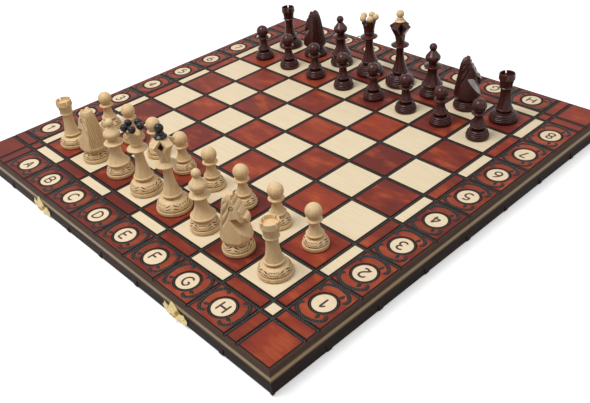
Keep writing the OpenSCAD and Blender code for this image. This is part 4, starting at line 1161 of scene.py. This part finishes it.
class CHESSBOX_OT_bishops(bpy.types.Operator):
    """Turns the four bishops"""
    bl_idname = "chessbox.bishops"
    bl_label = "Bishops"

    def execute(self, context):
        t, man = context.scene.chess_turning, context.scene.chess_bishop
        collar = 5 * t.edge
        z = man.foot_height + man.stem + collar
        h = man.head_height - collar
        r, e = man.head / 2, 6 * t.edge
        neck, ball_neck = man.neck / 2, man.ball / 2 * 0.7
        ball = z + h + math.sqrt((man.ball / 2) ** 2 - ball_neck ** 2)
        head = (arc((r - e, z + 0.44 * h), e, -60, 50, 22) + [(ball_neck + t.edge, z + h - 2.2 * t.edge)]
                + [(ball_neck, z + h - t.edge)] + ball_outline(ball, man.ball / 2, ball_neck))
        outline = man_outline(t, man, collar, neck, head)
        set_men(context, "bishop", lambda side: (wooden(t, man, side, outline), []))
        return {"FINISHED"}


class CHESSBOX_OT_queens(bpy.types.Operator):
    """Turns the two queens and sets their beads"""
    bl_idname = "chessbox.queens"
    bl_label = "Queens"
    TURNS = {"white_queen": 34, "black_queen": 34}
    FLARE_STEPS = 6
    DEPTH = 0.36  # of the hollow in the cup, as a share of the cup

    def execute(self, context):
        t, man = context.scene.chess_turning, context.scene.chess_queen
        e, r = t.edge, man.cup / 2
        neck = man.waist / 2 + e
        z = man.foot_height + man.stem + 5 * e
        rim = man.foot_height + man.stem + man.cup_height
        depth = man.cup_height * self.DEPTH
        low, high = (neck + e, z + 6 * e), (r - e / 2, rim - e)
        flare = []
        for k in range(self.FLARE_STEPS + 1):
            share = k / self.FLARE_STEPS
            reach = high[0] - (high[0] - low[0]) * (1 - share) ** 1.1
            flare.append((reach, low[1] + (high[1] - low[1]) * share))
        head = ([(neck, z + e), (neck + e, z + 1.6 * e), (neck + e, z + 3.2 * e)]
                + arc((neck + e * 0.6, z + 4.4 * e), e * 0.9, -80, 80, 8) + flare
                + [(r, rim), (r - 2 * e, rim), (0, rim - depth)])
        outline = man_outline(t, man, 5 * e, neck, head)
        base = rim - depth * 0.9
        between = 2 * math.pi / man.beads

        def notches(p):
            """Cuts a V between each two beads."""
            reach = math.hypot(p[0], p[1])
            if p[2] < base or reach < 0.5 * MM:
                return p
            near = (math.atan2(p[1], p[0]) / between - 0.5) % 1
            off = min(near, 1 - near) * between * reach
            cut = max(0.0, depth * 0.72 - off * 1.05)
            return p[0], p[1], p[2] - cut * min(1.0, (p[2] - base) / (rim - base))

        ball = turn(Shell(), arc((0, 0), man.bead / 2, -90, 90, 18), steps=30)
        beads = Shell()
        for k in range(man.beads):
            spot = Vector((math.cos(between * k), math.sin(between * k), 0)) * man.bead_ring / 2
            beads.join(ball, spot + Vector((0, 0, rim + man.bead / 2 - 1.4 * e)))
        set_men(context, "queen", lambda side: (
            wooden(t, man, side, outline, 160, shape=notches), [("beads", beads)]), self.TURNS)
        return {"FINISHED"}


class CHESSBOX_OT_kings(bpy.types.Operator):
    """Turns the two kings, cuts their crowns and sets their knobs"""
    bl_idname = "chessbox.kings"
    bl_label = "Kings"
    TURNS = {"white_king": 49, "black_king": 49}
    HORNS = 4
    # The crown's half widths, in halves of its width: at its neck, in its notches, at the tips of the horns
    # and of a notch.
    NECK, ROOT, TIP, NOTCH = 0.56, 0.66, 1.18, 0.62
    # Where the horns begin and end, in parts of the crown, from below and from above.
    FOOT, EAVE = 0.22, 0.20
    # The dark diamond: its ends along a notch, and how far from the axis its middle lies.
    DIAMOND, SUNK_TO = (0.30, 0.82), 0.45

    def execute(self, context):
        t, man = context.scene.chess_turning, context.scene.chess_king
        e = t.edge
        z = man.foot_height + man.stem + 6 * e
        top = man.foot_height + man.stem + man.crown_height
        neck = man.waist / 2
        head = ([(neck, z)] + arc((neck + 0.2 * e, z + 1.3 * e), e, -75, 75, 8)
                + [(neck, z + 2.6 * e), (neck + e, z + 4 * e), (0, z + 4 * e)])
        outline = man_outline(t, man, 6 * e, neck, head)
        crown = self.crown(man, z + 2.8 * e, top)
        knob = turn(Shell(), self.knob_outline(man, top + t.glue, e), steps=48)

        def build(side):
            wood = wooden(t, man, side, outline)
            wood.join(crown)
            return wood, [("knob", knob)]

        set_men(context, "king", build, self.TURNS)
        return {"FINISHED"}

    @staticmethod
    def knob_outline(man, low, e):
        """A ring, a neck and a ball on top."""
        r, h = man.knob / 2, man.knob_height
        ball = h * 0.33
        return ([(0, low), (r - e, low)] + arc((r - e, low + e), e, -90, 60, 8)
                + [(r * 0.62, low + h * 0.22), (r * 0.66, low + h * 0.30), (r * 0.50, low + h * 0.38)]
                + ball_outline(low + h - ball, ball, r * 0.45))

    def crown(self, man, low, top):
        """Four horns with a notch between each pair, a low roof, and a dark diamond sunk in each notch."""
        shell = Shell()
        half = man.crown / 2
        root, tip, notch = self.ROOT * half, self.TIP * half, self.NOTCH * half
        foot, eave = low + self.FOOT * man.crown_height, top - self.EAVE * man.crown_height
        quarters = [Matrix.Rotation(2 * math.pi / self.HORNS * k, 3, "Z") for k in range(self.HORNS)]

        def at(k, x, y, z):
            return quarters[k % self.HORNS] @ Vector((x, y, z))

        base = [at(k, self.NECK * half * math.cos(a), self.NECK * half * math.sin(a), low)
                for k in range(self.HORNS) for a in (-0.4, 0.4)]
        waist = [at(k, root * 0.98, y, foot) for k in range(self.HORNS) for y in (-0.02 * half, 0.02 * half)]
        shell.skin([base, waist])
        for k in range(self.HORNS):
            bottom, peak = at(k, root, 0, foot), at(k, root, 0, top)
            left, right = at(k, tip, -notch, eave), at(k, tip, notch, eave)
            next_bottom, next_peak = at(k + 1, root, 0, foot), at(k + 1, root, 0, top)
            next_left = at(k + 1, tip, -notch, eave)
            first, last = (bottom.lerp(peak, share) for share in self.DIAMOND)
            middle = first.lerp(last, 0.5)
            near, far = middle.lerp(left, 0.5), middle.lerp(right, 0.5)
            deep = at(k, self.SUNK_TO * half, 0, middle.z)
            for ring in ((bottom, first, near, left), (left, near, last, peak),
                         (bottom, right, far, first), (right, peak, last, far),
                         (right, next_left, next_peak, peak), (right, bottom, next_bottom, next_left)):
                shell.patch(ring[::-1])
            for a, b in ((first, near), (near, last), (last, far), (far, first)):
                shell.patch((a, b, deep), 1.0)
        shell.patch([at(k, root, 0, top) for k in range(self.HORNS)])
        return shell


# The horse, for a head one high: its turned back as (radius, height), its side outline with the nose in +X,
# and the plan of its muzzle.
HORSE_BACK = [(0.272, 0.005), (0.302, 0.022), (0.315, 0.055), (0.256, 0.444), (0.188, 0.81), (0.154, 0.90),
              (0.10, 1.02), (0, 1.02)]
HORSE_SIDE = [(-0.36, -0.01), (-0.36, 0.90), (-0.115, 0.925), (-0.06, 0.955), (-0.038, 1), (-0.005, 0.965),
              (0.02, 0.975), (0.035, 0.93), (0.03, 0.885), (0.062, 0.87), (0.075, 0.82), (0.066, 0.79),
              (0.106, 0.775), (0.14, 0.715), (0.13, 0.695), (0.163, 0.675), (0.206, 0.598), (0.212, 0.55),
              (0.269, 0.521), (0.295, 0.48), (0.30, 0.444), (0.288, 0.367), (0.26, 0.358), (0.123, 0.521),
              (-0.019, 0.492), (0.077, 0.358), (0.192, 0.223), (0.288, 0.098), (0.36, 0.03), (0.36, -0.01)]
MUZZLE_PLAN = [(0, 0.17), (0.19, 0.144), (0.27, 0.105), (0.31, 0.065), (0.31, -0.065), (0.27, -0.105),
               (0.19, -0.144), (0, -0.17)]
MUZZLE_HEIGHTS = (0.30, 0.58)
POLL_AT = 0.90  # height where the flanks end and the ears begin
EYE_AT = (0.02, 0.72)
NOSTRIL_AT = (0.25, 0.465)
MOUTH_AT = (0.205, 0.425)  # the inner end of the mouth
MANE_HEIGHTS, MANE_FADE = (0.06, 0.86), 0.04
GROOVE_WIDTH, GROOVE_DEPTH = 1.5 * MM, 0.85 * MM  # of the mane
FACE_DEPTH = 0.4 * MM  # of the eyes, nostrils and mouth
HORSE_GRID = 0.33 * MM
KNIGHT_TURNS = {"white_knight_b": 188, "white_knight_g": 30, "black_knight_b": 176, "black_knight_g": 35}


def prism(outline, low, high, axis):
    """A solid of the outline, drawn across an axis, from low to high along it."""
    at = "xyz".index(axis)
    return Shell().skin([[(*p[:at], level, *p[at:]) for p in outline] for level in (low, high)])


def horse_blank(man):
    """The horse before its fine carving: turned back and muzzle, sawn to the side and front outlines."""
    size, foot, poll = man.head, man.thick / 2, man.poll / 2

    def scaled(points):
        return [(u * size, v * size) for u, v in points]

    front = [(-foot, -0.01 * size), (foot, -0.01 * size), (poll, POLL_AT * size), (poll * 0.62, size),
             (0, 0.93 * size), (-poll * 0.62, size), (-poll, POLL_AT * size)]
    low, high = (h * size for h in MUZZLE_HEIGHTS)
    solids = [("UNION", prism(scaled(MUZZLE_PLAN), low, high, "z")),
              ("INTERSECT", prism(scaled(HORSE_SIDE), -size, size, "y")),
              ("INTERSECT", prism(front, -size, size, "x"))]
    blank = loose("horse", turn(Shell(), [(0, 0), (man.skirt / 2, 0)] + scaled(HORSE_BACK), steps=96))
    tools = []
    for kind, shell in solids:
        tools.append(loose("horse tool", shell))
        cut = blank.modifiers.new(kind, "BOOLEAN")
        cut.operation, cut.object, cut.solver = kind, tools[-1], "EXACT"
    grid = blank.modifiers.new("grid", "REMESH")
    grid.mode, grid.voxel_size = "VOXEL", HORSE_GRID
    soft = blank.modifiers.new("soft", "SMOOTH")
    soft.factor, soft.iterations = 0.5, 5
    data = bpy.data.meshes.new_from_object(blank.evaluated_get(bpy.context.evaluated_depsgraph_get()))
    for tool in [blank, *tools]:
        bpy.data.objects.remove(tool)
    return data


def loose(name, shell):
    """An object for a boolean step, with its faces turned outwards."""
    data = shell.mesh(name)
    shape = bmesh.new()
    shape.from_mesh(data)
    bmesh.ops.remove_doubles(shape, verts=shape.verts, dist=0.001 * MM)
    bmesh.ops.recalc_face_normals(shape, faces=shape.faces)
    shape.to_mesh(data)
    shape.free()
    made = bpy.data.objects.new(name, data)
    bpy.context.scene.collection.objects.link(made)
    return made


def mane_depth(man, at, out):
    """How deep the grooves of the mane are at a point of the horse."""
    height, reach = at.z / man.head, math.hypot(at.x, at.y)
    low, high = MANE_HEIGHTS
    off = math.atan2(abs(at.y), -at.x) * reach
    behind = at.x < 0 and out.x * at.x + out.y * at.y > 0.6 * reach
    if not behind or not low < height < high or off >= man.grooves * man.pitch:
        return 0.0
    nearest = abs((off / man.pitch) % 1 - 0.5) * man.pitch
    fade = min(1.0, (height - low) / MANE_FADE, (high - height) / MANE_FADE)
    return max(0.0, 1 - (nearest / (GROOVE_WIDTH / 2)) ** 2) * GROOVE_DEPTH * fade


def face_mark(man, at):
    """How strongly a point of the horse's cheek is burnt, up to 1: eye ring and pupil, nostril and mouth."""
    eye, nostril, mouth = ((u * man.head, v * man.head) for u, v in (EYE_AT, NOSTRIL_AT, MOUTH_AT))
    spot = at.x, at.z
    ring = math.dist(spot, eye)
    marks = [1 - abs(ring - man.eye / 2 + 0.35 * MM) / (0.5 * MM), 1 - ring / (0.7 * MM),
             1 - math.dist(spot, nostril) / MM]
    if at.x >= mouth[0]:
        marks.append(1 - abs(at.z - mouth[1]) / (0.5 * MM))
    return max(marks)


def horse(man, lift):
    """The carved horse as a shell: mane grooves, eye rings, nostrils and mouth are pressed into the blank, and
    the mane grooves are painted darker as shade.
    """
    data = horse_blank(man)
    shell = Shell()
    for vertex in data.vertices:
        at, out = vertex.co, vertex.normal
        depth = mane_depth(man, at, out)
        # Painted shade: the mane's grooves are darkened in step with their depth.
        burn_and_shade = depth / MM * 0.42
        mark = face_mark(man, at) if abs(out.y) > 0.5 else 0.0
        if mark > 0:
            depth, burn_and_shade = max(depth, FACE_DEPTH * min(1.0, mark * 2)), max(burn_and_shade, min(1.0, 1.4 * mark))
        shell.points.append(at - out * depth + Vector((0, 0, lift)))
        shell.burns_and_shade.append(burn_and_shade)
    shell.faces = [list(face.vertices) for face in data.polygons]
    bpy.data.meshes.remove(data)
    return shell


class CHESSBOX_OT_knights(bpy.types.Operator):
    """Turns the feet of the four knights and carves their horses"""
    bl_idname = "chessbox.knights"
    bl_label = "Knights"

    def execute(self, context):
        t, man = context.scene.chess_turning, context.scene.chess_knight
        neck = man.skirt / 2
        outline = (foot_outline(t, man.foot, man.foot_height - 2 * t.edge, neck)
                   + [(neck, man.foot_height + t.edge / 2), (0, man.foot_height + t.edge / 2)])
        carved = horse(man, man.foot_height)

        def build(side):
            wood = wooden(t, man, side, outline)
            wood.join(carved)
            return wood, []

        set_men(context, "knight", build, KNIGHT_TURNS)
        return {"FINISHED"}


# ---------------------------------------------------------------- stage
class CHESSBOX_OT_stage(bpy.types.Operator):
    """Sets the floor, the lights and the camera"""
    bl_idname = "chessbox.stage"
    bl_label = "Stage"
    SKY = 0.31  # strength of the world's light on the object
    LAMPS = {"key light": ((-0.25, -0.70, 1.7), 1.0, 27), "fill light": ((1.1, 0.5, 1.5), 1.2, 5)}
    FLOOR_REACH = 6.0
    FLOOR_TONE, FLOOR_GLOW = 0.82, 0.42
    LENS = 44.27
    CAMERA_AT = (0.59198, -0.50256, 0.46912)
    CAMERA_RIGHT, CAMERA_UP = (0.68874, 0.72095, -0.07657), (-0.37217, 0.44220, 0.81606)

    def execute(self, context):
        scene = context.scene
        scene.view_settings.view_transform = "Standard"
        self.floor(scene)
        self.world(scene)
        for name, settings in self.LAMPS.items():
            self.lamp(scene, name, *settings)
        self.camera(scene)
        return {"FINISHED"}

    def floor(self, scene):
        """A pale floor that is seen from above alone, and that turns away with the folding half."""
        data = bpy.data.meshes.new("floor")
        far = self.FLOOR_REACH
        data.from_pydata([(-far, -far, 0), (far, -far, 0), (far, far, 0), (-far, far, 0)], [], [[0, 1, 2, 3]])
        floor = bpy.data.objects.new("floor", data)
        scene.collection.objects.link(floor)
        f = Finish("pale floor")
        nodes = f.tree.nodes
        nodes.remove(f.shader)
        path = f.node("LightPath")
        seen = f.most(path.outputs["Is Camera Ray"], path.outputs["Is Glossy Ray"])
        matt = f.node("BsdfDiffuse", {"Color": (*[self.FLOOR_TONE] * 3, 1.0)}).outputs[0]
        glow = f.node("Emission", {"Strength": self.FLOOR_GLOW}).outputs[0]
        pale = f.node("AddShader", {0: matt, 1: glow}).outputs[0]
        unseen = f.most(f.node("NewGeometry").outputs["Backfacing"], f.minus(1.0, seen))
        clear = f.node("BsdfTransparent").outputs[0]
        shown = f.node("MixShader", {0: unseen, 1: pale, 2: clear}).outputs[0]
        f.feed(nodes["Material Output"].inputs["Surface"], shown)
        data.materials.append(f.material)
        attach(floor, "black_half")

    def world(self, scene):
        """White where it is seen or mirrored, and a plain level where it lights the object."""
        world = bpy.data.worlds.new("studio")
        scene.world = world
        world.use_nodes = True
        tree = world.node_tree
        back = tree.nodes["Background"]
        path = tree.nodes.new("ShaderNodeLightPath")
        seen = path.outputs["Is Camera Ray"]
        for ray in ("Is Glossy Ray", "Is Transmission Ray"):
            either = tree.nodes.new("ShaderNodeMath")
            either.operation = "MAXIMUM"
            tree.links.new(seen, either.inputs[0])
            tree.links.new(path.outputs[ray], either.inputs[1])
            seen = either.outputs[0]
        level = tree.nodes.new("ShaderNodeMix")
        level.inputs[2].default_value, level.inputs[3].default_value = self.SKY, 1.0
        tree.links.new(seen, level.inputs[0])
        back.inputs["Color"].default_value = (1, 1, 1, 1)
        tree.links.new(level.outputs[0], back.inputs["Strength"])

    def lamp(self, scene, name, place, size, power):
        data = bpy.data.lights.new(name, "AREA")
        data.size, data.energy = size, power
        lamp = bpy.data.objects.new(name, data)
        lamp.location = place
        lamp.rotation_mode = "QUATERNION"
        lamp.rotation_quaternion = (-Vector(place)).to_track_quat("-Z", "Y")
        scene.collection.objects.link(lamp)

    def camera(self, scene):
        """The photograph's viewpoint, from a fit to the lines of the board."""
        data = bpy.data.cameras.new("camera")
        data.lens, data.sensor_width = self.LENS, 36.0
        data.clip_start, data.clip_end = 0.02, 20.0
        camera = bpy.data.objects.new("camera", data)
        right, up = Vector(self.CAMERA_RIGHT), Vector(self.CAMERA_UP)
        turned = Matrix((right, up, right.cross(up).normalized())).transposed().to_4x4()
        camera.matrix_world = Matrix.Translation(self.CAMERA_AT) @ turned
        scene.collection.objects.link(camera)
        scene.camera = camera


class CHESSBOX_PT_panel(bpy.types.Panel):
    """Lists the makers of the chess box"""
    bl_label = "Chess box"
    bl_idname = "CHESSBOX_PT_panel"
    bl_space_type = "VIEW_3D"
    bl_region_type = "UI"
    bl_category = "Chess box"

    def draw(self, context):
        for operator in OPERATORS:
            self.layout.operator(operator.bl_idname)
        for group in GROUPS:
            box = self.layout.box()
            box.label(text=group.__doc__)
            for name in group.__annotations__:
                box.prop(getattr(context.scene, GROUPS[group]), name)


GROUPS = {
    BoardSizes: "chess_board", CarvingSizes: "chess_carving", BoardTones: "chess_tones", MenTones: "chess_men",
    Turning: "chess_turning", PawnSizes: "chess_pawn", RookSizes: "chess_rook", KnightSizes: "chess_knight",
    BishopSizes: "chess_bishop", QueenSizes: "chess_queen", KingSizes: "chess_king",
}
OPERATORS = [
    CHESSBOX_OT_board, CHESSBOX_OT_ornament, CHESSBOX_OT_letters, CHESSBOX_OT_sides, CHESSBOX_OT_linings,
    CHESSBOX_OT_metal, CHESSBOX_OT_pawns, CHESSBOX_OT_rooks, CHESSBOX_OT_knights, CHESSBOX_OT_bishops,
    CHESSBOX_OT_queens, CHESSBOX_OT_kings, CHESSBOX_OT_stage,
]


def register():
    for made in [*GROUPS, *OPERATORS, CHESSBOX_PT_panel]:
        bpy.utils.register_class(made)
    for group, name in GROUPS.items():
        setattr(bpy.types.Scene, name, bpy.props.PointerProperty(type=group))


def unregister():
    for name in GROUPS.values():
        delattr(bpy.types.Scene, name)
    for made in reversed([*GROUPS, *OPERATORS, CHESSBOX_PT_panel]):
        bpy.utils.unregister_class(made)


def main():
    register()
    for operator in OPERATORS:
        group, name = operator.bl_idname.split(".")
        getattr(getattr(bpy.ops, group), name)()


if __name__ == "__main__":
    main()
